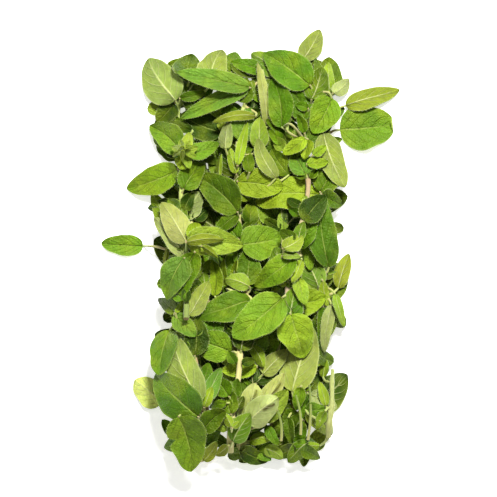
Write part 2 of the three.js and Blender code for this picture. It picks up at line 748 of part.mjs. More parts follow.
// Builds a sprig: lays its leaves and stem on the heap in order, and joins them in one solid
async function main() {
  const wasm = await Module();
  wasm.setup();
  const solid = ({ positions, faces }) =>
    new wasm.Manifold(
      new wasm.Mesh({
        numProp: 3,
        vertProperties: new Float32Array(positions),
        triVerts: new Uint32Array(faces),
      }),
    );
  const bunch = new THREE.Group();
  bunch.name = "oregano_bunch";
  const inner = [];
  for (let i = 0; i < INNER_PLACES.length; i++) inner.push(innerSprig(i));
  const shown = SPRIGS.map((sprig, i) => ({
    ...sprig,
    press: OUTER_PRESS,
    leaves: [...(sprig.cover ? coverLeaves(sprig.stem, COVER_SEED + i) : []), ...sprig.leaves],
  }));
  [...inner, ...shown].forEach((sprig, order) => {
    const earlier = heap.slice();
    const laid = [];
    const lay = (spec, index, root) => {
      laid.push({ index, form: layLeaf(spec, 100 * order + index, sprig.press, root) });
    };
    sprig.leaves.forEach((spec, index) => {
      if (spec[6] === "below") lay(spec, index, null);
    });
    const path = layStem(sprig.stem, sprig.radii);
    const rootAt = (spec) => {
      const s = rootOf(sprig.stem, spec);
      return { ...pathPlan(path, s), z: pathHeight(path, s) };
    };
    sprig.leaves.forEach((spec, index) => {
      if (spec[6] !== "below") lay(spec, index, rootAt(spec));
    });
    let whole = solid(stemSolid(path));
    for (const { index, form } of laid) {
      const root = rootAt(sprig.leaves[index]);
      whole = whole.add(solid(leafSolid(form, petioleOf(root, form, earlier))));
    }
    const mesh = largestBody(whole).getMesh();
    const geometry = new THREE.BufferGeometry();
    geometry.setAttribute("position", new THREE.BufferAttribute(mesh.vertProperties, 3));
    geometry.setIndex(new THREE.BufferAttribute(mesh.triVerts, 1));
    geometry.computeVertexNormals();
    const piece = new THREE.Mesh(
      geometry,
      new THREE.MeshStandardMaterial({ color: LEAF_COLOUR, roughness: 0.6, metalness: 0 }),
    );
    piece.name = sprig.name;
    bunch.add(piece);
  });
  return bunch;
}

export default await main();
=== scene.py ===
# A bunch of fresh oregano: cut leafy stems that lie together on a surface, feet at -Y and tips at +Y
import math

import bpy
import numpy as np
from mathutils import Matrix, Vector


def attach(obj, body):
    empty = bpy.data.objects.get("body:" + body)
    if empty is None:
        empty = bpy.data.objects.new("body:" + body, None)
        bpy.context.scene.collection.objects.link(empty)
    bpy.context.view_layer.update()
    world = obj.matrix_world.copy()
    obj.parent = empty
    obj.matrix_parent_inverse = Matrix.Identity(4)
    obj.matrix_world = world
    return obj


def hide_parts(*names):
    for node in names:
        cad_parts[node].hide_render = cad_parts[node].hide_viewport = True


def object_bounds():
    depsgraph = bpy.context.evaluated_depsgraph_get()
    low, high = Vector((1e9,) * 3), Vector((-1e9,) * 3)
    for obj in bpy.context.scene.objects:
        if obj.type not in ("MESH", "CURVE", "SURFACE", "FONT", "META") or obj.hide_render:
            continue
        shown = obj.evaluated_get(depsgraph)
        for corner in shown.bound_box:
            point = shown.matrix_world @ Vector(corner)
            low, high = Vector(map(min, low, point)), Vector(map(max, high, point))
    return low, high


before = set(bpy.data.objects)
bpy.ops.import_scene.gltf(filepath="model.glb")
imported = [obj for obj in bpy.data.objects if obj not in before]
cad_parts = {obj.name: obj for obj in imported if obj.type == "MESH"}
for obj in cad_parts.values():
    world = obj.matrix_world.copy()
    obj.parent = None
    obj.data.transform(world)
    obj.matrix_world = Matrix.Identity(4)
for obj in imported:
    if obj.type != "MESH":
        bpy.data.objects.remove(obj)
cad_box = [list(corner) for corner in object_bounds()]
MM = 0.001


# The surface and the light
# The bunch lies on a plain matt white table under a lamp from beyond its tips and a little to the right.
# The table also glows faintly, painted light that keeps it white where shadow falls. A weak wide lamp and a
# pale room fill the shadows. The camera looks down at the photograph's angle through a long lens.
TABLE_COLOUR = "#FCFCFB"
TABLE_HALF = 3.0
TABLE_PAINTED_GLOW = 0.58
TABLE_ROUGHNESS = 0.85
ROOM_COLOUR = "#F8F7F2"
ROOM_STRENGTH = 0.34
KEY_POWER = 25.0
KEY_SIZE = 0.24
KEY_PLACE = (0.16, 0.5, 1.05)
FILL_POWER = 1.0
FILL_SIZE = 1.2
FILL_PLACE = (-0.7, -0.7, 0.9)
CAMERA_ELEVATION = 78.0
CAMERA_DISTANCE = 1.8
CAMERA_AIM = (-0.0014, -0.0026, 0.012)
FRAME_WIDTH = 0.2066
SENSOR_WIDTH = 36.0
CAMERA_REACH = 20


def colour(code):
    """An sRGB hex colour as linear red, green, blue and alpha."""
    parts = [int(code[i:i + 2], 16) / 255 for i in (1, 3, 5)]
    linear = [p / 12.92 if p <= 0.04045 else ((p + 0.055) / 1.055) ** 2.4 for p in parts]
    return (*linear, 1.0)


def set_inputs(node, inputs):
    """Sets or links the inputs of a node, which are given by name or in their order."""
    for socket, value in inputs.items() if isinstance(inputs, dict) else enumerate(inputs):
        if isinstance(value, bpy.types.NodeSocket):
            node.id_data.links.new(value, node.inputs[socket])
        else:
            node.inputs[socket].default_value = value


def add_node(tree, kind, inputs=(), out=0, **settings):
    """Adds a node with its settings and links, and gives one of its outputs."""
    node = tree.nodes.new("ShaderNode" + kind)
    for name, value in settings.items():
        setattr(node, name, value)
    set_inputs(node, inputs)
    return node.outputs[out]


def new_material(name):
    """A bare material, its node tree and its shader."""
    material = bpy.data.materials.new(name)
    material.use_nodes = True
    return material, material.node_tree, material.node_tree.nodes["Principled BSDF"]


def add_light(name, place, size, power):
    """A square soft light that faces the bunch."""
    bpy.ops.object.light_add(type="AREA", location=place)
    light = bpy.context.object
    light.name = name
    light.data.size = size
    light.data.energy = power
    towards = np.array(CAMERA_AIM) - np.array(place)
    flat = math.hypot(towards[0], towards[1])
    turn = math.atan2(towards[1], towards[0]) - math.pi / 2
    light.rotation_euler = (math.atan2(flat, -towards[2]), 0, turn)


bpy.ops.object.select_all(action="DESELECT")
bpy.ops.mesh.primitive_plane_add(size=2 * TABLE_HALF, location=(0, 0, cad_box[0][2]))
table = bpy.context.object
table.name = "table_top"
table_paint, _, table_shader = new_material("matt_white_board_painted_glow")
set_inputs(table_shader, {
    "Base Color": colour(TABLE_COLOUR),
    "Roughness": TABLE_ROUGHNESS,
    # Painted light: the table glows faintly so that it stays white where shadow falls on it.
    "Emission Color": colour(TABLE_COLOUR),
    "Emission Strength": TABLE_PAINTED_GLOW,
})
table.data.materials.append(table_paint)

room = bpy.data.worlds.new("pale_room")
room.use_nodes = True
backdrop = room.node_tree.nodes["Background"]
set_inputs(backdrop, {"Color": colour(ROOM_COLOUR), "Strength": ROOM_STRENGTH})
bpy.context.scene.world = room
add_light("key_light", KEY_PLACE, KEY_SIZE, KEY_POWER)
add_light("fill_light", FILL_PLACE, FILL_SIZE, FILL_POWER)

lean = math.radians(90 - CAMERA_ELEVATION)
back, up = CAMERA_DISTANCE * math.sin(lean), CAMERA_DISTANCE * math.cos(lean)
bpy.ops.object.camera_add(
    location=(CAMERA_AIM[0], CAMERA_AIM[1] - back, CAMERA_AIM[2] + up), rotation=(lean, 0, 0)
)
camera = bpy.context.object
camera.data.sensor_width = SENSOR_WIDTH
camera.data.lens = SENSOR_WIDTH * CAMERA_DISTANCE / FRAME_WIDTH
camera.data.clip_end = CAMERA_REACH
bpy.context.scene.camera = camera
bpy.context.scene.view_settings.view_transform = "Standard"


# How the sprigs lie
# Each sprig is laid on those before it, over a map of how high the bunch already stands, with a cell for each
# millimetre, the unit of all lengths from here on. A leaf takes the slope at which it lies lowest, is pressed
# in, and bends up over what is under it; a stem does the same.
LEAF_THICK = 0.7
OUTLINE_LEAD = 0.7
OUTLINE_FULL = 0.68
LEAF_ARCH = (0.05, 0.09)
UPPER_FOLD = (0.02, 0.3)
UNDER_FOLD = (-0.1, -0.2)
LEAF_BOW = 0.14
LEAF_WAVE = (0.02, 0.03)
WAVES = 1.6
WAVE_SHIFT = 1.3
LEAF_SLOPE = (0.15, -0.4)
LEAF_ROLL = 0.5
SECTIONS = [
    (5, [0, 0.42, 1]),
    (10, [0, 0.2, 0.62, 1]),
    (13, [0, 0.14, 0.5, 0.83, 1]),
    (40, [0, 0.1, 0.36, 0.66, 0.9, 1]),
]
PETIOLE_HALF = 0.55
ROOT_BEHIND = 2
ROOT_SLANT = 0.3
ROOT_INSET = 0.6
STALK_DROP = (1.5, 0.8)
STALK_RISE = (1, 0.7)
STALK_CURVE = (3, 0.45)
STALK_CLEAR = 0.3
SHORT_STALK = 2.5
MOST_RISE = 14
HEAP_HALF_X = 80
HEAP_HALF_Y = 110
LEAF_CLEAR = 0.32
STEM_CLEAR = 0.4
PAD_SHARE = 0.25
EDGE_MARGIN = 0.75
AROUND_SHARE = 1.2
MOST_SLOPE = 1.1
MOST_ROLL = 0.6
SLOPE_STEP = 0.1
STRAIN_COST = 0.35
REACH_COST = 0.5
PRESSED_COST = 0.3
STEM_STIFF = 14
BEND_ROUNDS = 32
QUIRK_SEED = 90000
COLUMNS = 2 * HEAP_HALF_X + 1
ROWS = 2 * HEAP_HALF_Y + 1
heap = np.zeros(COLUMNS * ROWS)


def draws(seed):
    """A repeatable stream of numbers from 0 to 1."""
    state = seed * 7919 + 104729

    def following():
        nonlocal state
        state = (state * 1664525 + 1013904223) % 4294967296
        return state / 4294967296

    for _ in range(3):
        following()
    return following


def drawn(pair, following):
    """A drawn value: the least, and a share of what may be added."""
    return pair[0] + pair[1] * following()


def between(first, last, t):
    """A value or point a share t of the way from the first to the last."""
    return first + (last - first) * t


def moved(x, y, angle, reach):
    """A place at an angle and a distance from another."""
    return x + reach * math.cos(angle), y + reach * math.sin(angle)


def millionths(value):
    """A height rounded to a millionth of a millimetre."""
    return np.floor(value * 1e6 + 0.5) / 1e6


def cell_of(x, y):
    """The cell of the map at a place, in whole millimetres."""
    column = np.clip(np.floor(x + HEAP_HALF_X + 0.5), 0, COLUMNS - 1).astype(int)
    row = np.clip(np.floor(y + HEAP_HALF_Y + 0.5), 0, ROWS - 1).astype(int)
    return row * COLUMNS + column


def outline(u):
    """The half width of an ovate leaf, as a share of the widest, at a share u of the way to its tip."""
    inside = np.clip(u, 0, 1)
    shape = np.power(np.maximum(np.sin(np.pi * np.power(inside, OUTLINE_LEAD)), 0), OUTLINE_FULL)
    return np.where((inside <= 0) | (inside >= 1), 0.0, shape)


class Leaf:
    """One leaf: its own bowed, arched, folded and waved shape, and where it then lies on the heap."""

    def __init__(self, spec, seed):
        x, y, tip_x, tip_y, width, face = spec[:6]
        following = draws(seed)
        self.length = math.hypot(tip_x - x, tip_y - y)
        self.turned = face == "under"
        self.oddity = spec[6].split(" ")[-1] if len(spec) > 6 else ""
        self.x, self.y, self.width, self.seed = x, y, width, seed
        self.along_x = (tip_x - x) / self.length
        self.along_y = (tip_y - y) / self.length
        self.arch = self.length * drawn(LEAF_ARCH, following)
        self.fold = drawn(UNDER_FOLD if self.turned else UPPER_FOLD, following)
        self.bow = self.length * LEAF_BOW * (following() - 0.5)
        self.wave = width * drawn(LEAF_WAVE, following)
        self.phase = following()
        self.slope = drawn(LEAF_SLOPE, following)
        self.roll = LEAF_ROLL * (following() - 0.5)
        self.stations = np.array(next(kind[1] for kind in SECTIONS if width < kind[0]), dtype=float)
        self.half = np.where(self.stations == 0, PETIOLE_HALF, (width / 2) * outline(self.stations))
        self.bows = self.bow * 4 * self.stations * (1 - self.stations)
        more = draws(seed + QUIRK_SEED)
        self.quirks = [more() for _ in range(8)]
        self.own = np.array([self.own_height(u, half) for u, half in zip(self.stations, self.half)]).ravel()

    def own_height(self, u, half):
        """The heights of the left edge, the midrib and the right edge at one section."""
        rib = self.arch * 4 * u * (1 - u)
        turn = 2 * math.pi * (WAVES * u + self.phase)
        ripple = [self.wave * math.sin(turn + WAVE_SHIFT * side) for side in (-1, 1)]
        reach = float(outline(u))
        left = rib + self.fold * half + ripple[0] * reach
        right = rib + self.fold * half + ripple[1] * reach
        return [left, rib, right]

    def find_cells(self):
        """The cells under the leaf, and each one's share in the nearest points of the sections."""
        reach = self.length + self.width
        across_x = np.arange(math.floor(self.x - reach), math.floor(self.x + reach) + 1)
        across_y = np.arange(math.floor(self.y - reach), math.floor(self.y + reach) + 1)
        cx, cy = (grid.ravel().astype(float) for grid in np.meshgrid(across_x, across_y, indexing="ij"))
        along = (cx - self.x) * self.along_x + (cy - self.y) * self.along_y
        u = along / self.length
        inside = np.minimum(1, np.maximum(0, u))
        k = np.searchsorted(self.stations[1:-1], inside, side="left")
        near, far = self.stations[k], self.stations[k + 1]
        t = (inside - near) / (far - near)
        bow = between(self.bows[k], self.bows[k + 1], t)
        across = (cy - self.y) * self.along_x - (cx - self.x) * self.along_y - bow
        half = between(self.half[k], self.half[k + 1], t)
        margin = EDGE_MARGIN / self.length
        keep = (u >= -margin) & (u <= 1 + margin) & (np.abs(across) <= half + EDGE_MARGIN)
        share = np.where(half > 0, np.minimum(1, np.abs(across) / np.where(half > 0, half, 1)), 0)
        side = np.where(across < 0, 2, 0)
        self.points = [p[keep] for p in (3 * k + 1, 3 * k + side, 3 * k + 4, 3 * k + 3 + side)]
        shares = ((1 - t) * (1 - share), (1 - t) * share, t * (1 - share), t * share)
        self.weights = [w[keep] for w in shares]
        self.cells = cell_of(cx, cy)[keep]
        self.along = (inside * self.length)[keep]
        self.across = across[keep]

    def heights_of(self, level):
        """The leaf's height at each of its cells, from the heights of its sections' points."""
        return sum(weight * level[point] for point, weight in zip(self.points, self.weights))

    def lay(self, press, root):
        """Lays the leaf on the map: a slope and a roll are tried, it is pressed in, and bends up."""
        self.find_cells()
        below = heap[self.cells]
        needs = np.where(below > 0, below + LEAF_CLEAR, 0) + LEAF_THICK / 2
        free = needs - self.heights_of(self.own)
        stalk = math.hypot(root[0] - self.x, root[1] - self.y) if root else 0
        best = None
        a = -MOST_SLOPE
        while a < MOST_SLOPE + 0.01:
            r = -MOST_ROLL
            while r < MOST_ROLL + 0.01:
                bases = free - a * self.along - r * self.across
                highest = bases.max()
                base = max(np.cumsum(bases)[-1] / len(bases), highest - press)
                if root:
                    base = max(base, root[2] - STALK_DROP[0] - STALK_DROP[1] * stalk)
                strain = self.length * (a - self.slope) ** 2 + self.width * (r - self.roll) ** 2
                reach = max(0, base - root[2] - STALK_RISE[0] - STALK_RISE[1] * stalk) if root else 0
                value = base + (a * self.length) / 2 + STRAIN_COST * strain + REACH_COST * reach
                value += PRESSED_COST * (highest - base)
                cost = math.floor(value * 1e5 + 0.5)
                if best is None or cost < best[0]:
                    best = (cost, a, r, base)
                r += SLOPE_STEP
            a += SLOPE_STEP
        _, self.a, self.r, self.base = best
        steepness = abs(self.a) + abs(self.r) + abs(self.fold) + (2 * self.arch) / self.length
        pad = PAD_SHARE * steepness
        self.rigid = self.own + self.base + self.lean_at(self.stations, self.half)
        level = self.rigid.copy()
        wanted = needs + np.where(below > 0, 2 * pad, 0)
        for _ in range(BEND_ROUNDS):
            short = wanted - self.heights_of(level)
            lift = np.zeros(len(level))
            for point, weight in zip(self.points, self.weights):
                np.maximum.at(lift, point, np.where(short > 0, weight * short, 0))
            lift[:3] = lift[:3].max()
            lift[-3:] = lift[-3:].max()
            level += lift
        rise = max(0, (wanted - self.heights_of(level)).max(), (LEAF_THICK / 2 - level).max())
        self.level = millionths(level + rise)
        top = self.heights_of(self.level) + LEAF_THICK / 2 + pad
        np.maximum.at(heap, self.cells, millionths(top))
        self.z = self.level[1]

    def lean_at(self, u, half):
        """What the slope and the roll add at the three points of each section."""
        points = [self.a * u * self.length + self.r * half * side for side in (1, 0, -1)]
        return np.stack(points, axis=1).ravel()


def path_part(path, s):
    """Which part of a stem's path a distance s from its foot falls in, and how far along that part."""
    k = 0
    while k < len(path) - 2 and path[k + 1][3] < s:
        k += 1
    return k, (s - path[k][3]) / (path[k + 1][3] - path[k][3])


def path_at(path, s):
    """A point of a stem's path, at a distance s from its foot."""
    k, t = path_part(path, s)
    return [between(path[k][i], path[k + 1][i], t) for i in range(3)]


def cells_around(x, y, r):
    """The cells under a stem or a stalk of half thickness r."""
    span = range(-2, 3)
    far = (AROUND_SHARE * r + EDGE_MARGIN) ** 2
    near = [(x + dx, y + dy) for dx in span for dy in span if dx * dx + dy * dy <= far]
    return cell_of(*np.array(near).T)


def pile(cells, top):
    """Records in the map that something now reaches up to a height there."""
    heap[cells] = np.maximum(heap[cells], millionths(top))


def lay_stem(points, radii):
    """A stem's path over the map: the mean height of what lies under it, raised where it would touch."""
    path = [[x, y, 0.0, 0.0] for x, y in points]
    for k in range(1, len(path)):
        step = math.hypot(path[k][0] - path[k - 1][0], path[k][1] - path[k - 1][1])
        path[k][3] = path[k - 1][3] + step
    total = path[-1][3]
    steps = math.ceil(total)
    spots = [total * i / steps for i in range(steps + 1)]
    thick = [between(*radii, s / total) for s in spots]
    around = [cells_around(*path_at(path, s)[:2], r) for s, r in zip(spots, thick)]
    needs = []
    for cells, r in zip(around, thick):
        below = heap[cells].max()
        needs.append(below + (STEM_CLEAR if below > 0 else 0) + r)
    for p in path:
        near = [need for s, need in zip(spots, needs) if abs(s - p[3]) <= STEM_STIFF]
        p[2] = sum(near) / len(near)
    parts = [path_part(path, s) for s in spots]
    for _ in range(BEND_ROUNDS):
        lift = [0.0] * len(path)
        for s, need, (k, t) in zip(spots, needs, parts):
            short = need - path_at(path, s)[2]
            lift[k] = max(lift[k], (1 - t) * short)
            lift[k + 1] = max(lift[k + 1], t * short)
        for p, more in zip(path, lift):
            p[2] += more
    rise = max(need - path_at(path, s)[2] for s, need in zip(spots, needs))
    for p in path:
        p[2] = float(millionths(p[2] + (rise if rise > 1e-6 else 0)))
    for s, r, cells in zip(spots, thick, around):
        pile(cells, path_at(path, s)[2] + r)
    return path


def root_of(points, spec):
    """Where a leaf's stalk leaves the stem: beside the leaf's base and a little behind it."""
    x, y, tip_x, tip_y = spec[:4]
    best = None
    before = 0
    for (ax, ay), (bx, by) in zip(points, points[1:]):
        length = math.hypot(bx - ax, by - ay)
        t = min(1, max(0, ((x - ax) * (bx - ax) + (y - ay) * (by - ay)) / length ** 2))
        away = math.hypot(x - ax - (bx - ax) * t, y - ay - (by - ay) * t)
        ahead = 1 if (tip_x - x) * (bx - ax) + (tip_y - y) * (by - ay) >= 0 else -1
        if best is None or away < best[0] - 1e-6:
            best = (away, ahead, before + t * length)
        before += length
    away, ahead, s = best
    return max(ROOT_INSET, min(before - ROOT_INSET, s - ahead * (ROOT_BEHIND + ROOT_SLANT * away)))


def lay_stalk(root, leaf, earlier):
    """A leaf's stalk: three points, bent once to arrive along the leaf and to clear what is below."""
    away = math.hypot(leaf.x - root[0], leaf.y - root[1])
    back = min(STALK_CURVE[0], STALK_CURVE[1] * away)
    base = [leaf.x, leaf.y, leaf.z]
    middle = [
        0.25 * root[0] + 0.5 * (leaf.x - leaf.along_x * back) + 0.25 * leaf.x,
        0.25 * root[1] + 0.5 * (leaf.y - leaf.along_y * back) + 0.25 * leaf.y,
        0.5 * (root[2] + leaf.z),
    ]

    def point_at(t):
        start, end, share = (root, middle, 2 * t) if t < 0.5 else (middle, base, 2 * t - 1)
        return [between(start[i], end[i], share) for i in range(3)]

    steps = max(10, math.ceil(2 * away))
    rise = 0
    for i in range(1, steps):
        t = i / steps
        x, y, z = point_at(t)
        below = earlier[cells_around(x, y, PETIOLE_HALF)].max()
        if below > 0:
            rise = max(rise, (below + PETIOLE_HALF + STALK_CLEAR - z) / (1 - abs(2 * t - 1)))
    middle[2] = max(middle[2] + min(rise, MOST_RISE), PETIOLE_HALF)
    for i in range(1, steps):
        x, y, z = point_at(i / steps)
        pile(cells_around(x, y, PETIOLE_HALF), z + PETIOLE_HALF)
    if away <= SHORT_STALK:
        middle = [(a + b) / 2 for a, b in zip(root, base)]
    return [root, middle, base]


# The leaf blades
# An oregano leaf is ovate and thin, satin green above and paler and downy below, with a pale midrib and four
# or five pairs of side veins that curve towards the tip; the blade swells a little between them. One flat
# blank is modelled for each of three sizes and copied, and each copy is bent to where its leaf lies.
BLADE_THICK = 0.36
VEIN_PAIRS = 5.0
VEIN_SWEEP = 0.27
VEIN_CURL = 0.22
VEIN_STRAY = 0.35
VEIN_SWELL = 0.034
VEIN_GROOVE = 0.028
SWELL_FROM = 0.2
GROOVE_HALF = 0.12
VEIN_EDGE = (0.42, 0.5)
VEIN_FADE = (0.5, 0.95, 0.8, 0.0)
RIB_EDGE = (0.015, 0.085, 1.0, 0.0)
RIB_FADE = (0.3, 1.0, 1.0, 0.1)
RIM_DOWN_AND_HIGHLIGHT_RANGE = (0.9, 1.0, 0.0, 0.3)
MOTTLE_RANGE = (0.3, 0.7, 0.8, 1.18)
PATCH_RANGE = (0.45, 0.7, 0.0, 0.4)
STRAY_SIZE = 7.0
MOTTLE_SIZE = 3.2
PATCH_SIZE = 11.0
NET_SIZE = 1.2
MOTTLE_RELIEF = 1.3
SKIN_RELIEF = 0.55
PATCH_COLOUR = "#8C9C22"
SHEEN_COLOUR = "#E9EFB4"
SHEEN_LEVEL = 0.3
PLANT_IOR = 1.42
LIGHT_THROUGH = 0.15
THROUGH_COLOUR = (0.6, 1.0, 0.1)
THROUGH_REACH = 0.7
MARGIN_SWAY = 0.02
SWAY_WAVES = (2.2, 4.1)
QUICK_SHARE = 0.4
CRINKLE = 0.014
CRINKLE_WAVES = (2.4, 3.9)
CRINKLE_SLANTS = (0.45, -0.6)
CRINKLE_EASE = 0.7
RIPPLE_EASE = 1.6
BEND_EASE = 1.25
TIP_TURN = 0.2
TIP_FROM = 0.6
TIP_FULL = 0.2
TIP_VARY = 0.36
CURL_FROM = 0.93
CURL_BACK = 1.5
CURL_UP = 1.1
CURL_MOST = 2.2
NOTCH_AT = 0.38
NOTCH_DEEP = 0.45
NOTCH_WIDE = 0.045
BRUISE_START = 0.6
BRUISE_AT = 0.66
BRUISE_REACH = 0.17
BRUISE_ASIDE = 0.15
BRUISE_SLANT = 0.9
BRUISE_WIDE = 0.16
BRUISE_SHARE = 0.97
TOUCH = 0.22
BROAD = 1.06
UNEVEN_TONE_AND_SHADE = 0.1
FOLD_RELIEF = 1.2
LARGE_LEAF = 6.0
SMOOTH_BLADE = 50
END_CROWDING = (0.45, 0.55)
TONE_SEED = 40000
YOUNG_SEED = 200000
BLANK_CELLS = {"large": (30, 12), "small": (16, 8), "young": (10, 6)}
TONES = {
    "fresh": "#6E9118",
    "bright": "#63851C",
    "mid": "#52750C",
    "deep": "#4D720F",
    "dull": "#5A7C24",
    "dark": "#4A660C",
    "bottle": "#3A5407",
    "lime": "#819B20",
    "pale": "#939C56",
    "sage": "#7D8B3F",
    "chalk": "#A8B067",
    # Painted light: the next tone is a pale green made brighter, to make up for the shade on a leaf that
    # hangs away from the lamp.
    "straw": "#D4DC72",
    "olive": "#76801F",
    "young": "#82982E",
    # Painted shade: the next tone is a near-black green for leaves that lie in shade between and under
    # others.
    "shade": "#2A4208",
}
HIDDEN_UPPER = "#45690E"
HIDDEN_UNDER = "#8A9A45"
BRUISE_COLOUR = "#3B2C14"
SHOWN_VARY = 0.3
HIDDEN_VARY = 0.2


def blade_material(name, tone, rib_colour, rib_share, vein_colour, vein_share, relief, grain, roughness):
    """Leaf skin: the leaf's own tone, mottled, with veins drawn from its own length and breadth.

    Real mottling and the net of small veins are finer: they are as coarse here as they need to be to show.
    A range gives what goes in, from and to, and then what comes out.
    """
    material, tree, shader = new_material(name)
    own = add_node(tree, "Attribute", attribute_name=tone)
    spot = add_node(tree, "UVMap", uv_map="blade")
    place = add_node(tree, "TexCoord", out="Object")
    u = add_node(tree, "SeparateXYZ", [spot], "X")
    v = add_node(tree, "SeparateXYZ", [spot], "Y")
    signed = add_node(tree, "Math", [v, 2.0, -1.0], operation="MULTIPLY_ADD")
    side = add_node(tree, "Math", [signed], operation="ABSOLUTE")
    curl = add_node(tree, "Math", [side, VEIN_CURL, VEIN_SWEEP], operation="MULTIPLY_ADD")
    swept = add_node(tree, "Math", [side, curl], operation="MULTIPLY")
    back = add_node(tree, "Math", [u, swept], operation="SUBTRACT")
    even = add_node(tree, "Math", [back, VEIN_PAIRS], operation="MULTIPLY")
    stray = add_node(tree, "TexNoise", {"Vector": place, "Scale": 1 / (STRAY_SIZE * MM), "Detail": 1.0})
    count = add_node(tree, "Math", [stray, VEIN_STRAY, even], operation="MULTIPLY_ADD")
    part = add_node(tree, "Math", [count], operation="FRACT")
    off = add_node(tree, "Math", [part, 0.5], operation="SUBTRACT")
    away = add_node(tree, "Math", [off], operation="ABSOLUTE")
    line = add_node(tree, "MapRange", [away, *VEIN_EDGE], interpolation_type="SMOOTHSTEP")
    fading = add_node(tree, "MapRange", [side, *VEIN_FADE])
    side_vein = add_node(tree, "Math", [line, fading], operation="MULTIPLY")
    rib = add_node(tree, "MapRange", [side, *RIB_EDGE], interpolation_type="SMOOTHSTEP")
    thinning = add_node(tree, "MapRange", [u, *RIB_FADE])
    midrib = add_node(tree, "Math", [rib, thinning], operation="MULTIPLY")
    veins = add_node(tree, "Math", [midrib, side_vein], operation="MAXIMUM")

    mottle_inputs = {"Vector": place, "Scale": 1 / (MOTTLE_SIZE * MM), "Detail": 6.0, "Roughness": 0.65}
    mottle = add_node(tree, "TexNoise", mottle_inputs)
    shade = add_node(tree, "MapRange", [mottle, *MOTTLE_RANGE])
    patches = add_node(tree, "TexNoise", {"Vector": place, "Scale": 1 / (PATCH_SIZE * MM), "Detail": 2.0})
    yellowed = add_node(tree, "MapRange", [patches, *PATCH_RANGE])
    skin = add_node(tree, "Mix", {0: yellowed, 6: own, 7: colour(PATCH_COLOUR)}, 2, data_type="RGBA")
    skin = add_node(tree, "VectorMath", {0: skin, 3: shade}, operation="SCALE")
    share = add_node(tree, "Math", [side_vein, vein_share], operation="MULTIPLY")
    skin = add_node(tree, "Mix", {0: share, 6: skin, 7: colour(vein_colour)}, 2, data_type="RGBA")
    share = add_node(tree, "Math", [midrib, rib_share], operation="MULTIPLY")
    skin = add_node(tree, "Mix", {0: share, 6: skin, 7: colour(rib_colour)}, 2, data_type="RGBA")
    # A pale rim along the margin: partly the pale down there, partly a painted highlight where light catches
    # the edge.
    rim_down_and_highlight = add_node(tree, "MapRange", [side, *RIM_DOWN_AND_HIGHLIGHT_RANGE], interpolation_type="SMOOTHSTEP")
    skin = add_node(tree, "Mix", {0: rim_down_and_highlight, 6: skin, 7: colour(rib_colour)}, 2, data_type="RGBA")

    net_inputs = {"Vector": place, "Scale": 1 / (NET_SIZE * MM)}
    net = add_node(tree, "TexVoronoi", net_inputs, feature="DISTANCE_TO_EDGE")
    swell = add_node(tree, "Math", [mottle, MOTTLE_RELIEF, net], operation="MULTIPLY_ADD")
    swell = add_node(tree, "Math", [swell, grain], operation="MULTIPLY")
    height = add_node(tree, "Math", [veins, -relief, swell], operation="MULTIPLY_ADD")
    fold = math.copysign(FOLD_RELIEF, relief)
    height = add_node(tree, "Math", [side, fold, height], operation="MULTIPLY_ADD")
    set_inputs(shader, {
        "Base Color": skin,
        "Normal": add_node(tree, "Bump", {"Strength": 1.0, "Distance": SKIN_RELIEF * MM, "Height": height}),
        "Roughness": roughness,
        "IOR": PLANT_IOR,
        "Specular IOR Level": SHEEN_LEVEL,
        "Specular Tint": colour(SHEEN_COLOUR),
        "Subsurface Weight": LIGHT_THROUGH,
        "Subsurface Radius": THROUGH_COLOUR,
        "Subsurface Scale": THROUGH_REACH * MM,
    })
    return material


upper_skin = blade_material(
    "leaf_skin_upper_satin", "upper_tone", "#A9B85A", 0.4, "#8FA63C", 0.14, 0.6, 0.8, 0.46
)
under_skin = blade_material(
    "leaf_skin_underside_downy", "under_tone", "#D3D694", 0.6, "#CBD08C", 0.5, -0.45, 0.4, 0.62
)


def add_grid(name, cells):
    """A flat grid, two units long and wide."""
    bpy.ops.object.select_all(action="DESELECT")
    bpy.ops.mesh.primitive_grid_add(x_subdivisions=cells[0], y_subdivisions=cells[1], size=2)
    grid = bpy.context.object
    grid.name = name
    grid.data.uv_layers[0].name = "blade"
    return grid


def points_of(mesh):
    """The points of a mesh, one to a row."""
    flat = np.empty(3 * len(mesh.vertices))
    mesh.vertices.foreach_get("co", flat)
    return flat.reshape(-1, 3)


def own_copy(blank):
    """A copy of a blank, with its own mesh."""
    piece = blank.copy()
    piece.data = blank.data.copy()
    bpy.context.collection.objects.link(piece)
    return piece


def model_blank(size):
    """A flat leaf of unit length, its grid drawn in to the outline and merged at both ends."""
    blank = add_grid("leaf_blank_" + size, BLANK_CELLS[size])
    mesh = blank.data
    flat = points_of(mesh)
    even = (flat[:, 0] + 1) / 2
    u = 0.5 - 0.5 * np.cos(np.pi * even)
    u = END_CROWDING[0] * u + END_CROWDING[1] * even
    s = flat[:, 1].copy()
    corners = np.empty(len(mesh.loops), dtype=int)
    mesh.loops.foreach_get("vertex_index", corners)
    spots = np.stack([u[corners], 0.5 + 0.5 * s[corners]], axis=1)
    mesh.uv_layers["blade"].data.foreach_set("uv", spots.ravel())
    flat[:, 0] = u
    flat[:, 1] = s * outline(u)
    mesh.vertices.foreach_set("co", flat.ravel())
    bpy.ops.object.mode_set(mode="EDIT")
    bpy.ops.mesh.select_all(action="SELECT")
    bpy.ops.mesh.remove_doubles(threshold=1e-5)
    bpy.ops.object.mode_set(mode="OBJECT")
    mesh.materials.append(upper_skin)
    mesh.materials.append(under_skin)
    for name in ("upper_tone", "under_tone"):
        mesh.attributes.new(name, "FLOAT_COLOR", "POINT")
    shape = points_of(mesh)
    reach = outline(shape[:, 0])
    wide = reach > 1e-6
    s = np.zeros(len(shape))
    s[wide] = shape[wide, 1] / reach[wide]
    return blank, shape[:, 0].copy(), s


blanks = {size: model_blank(size) for size in BLANK_CELLS}


def unit(ways):
    """Directions of length one."""
    return ways / np.maximum(np.linalg.norm(ways, axis=1), 1e-6)[:, None]


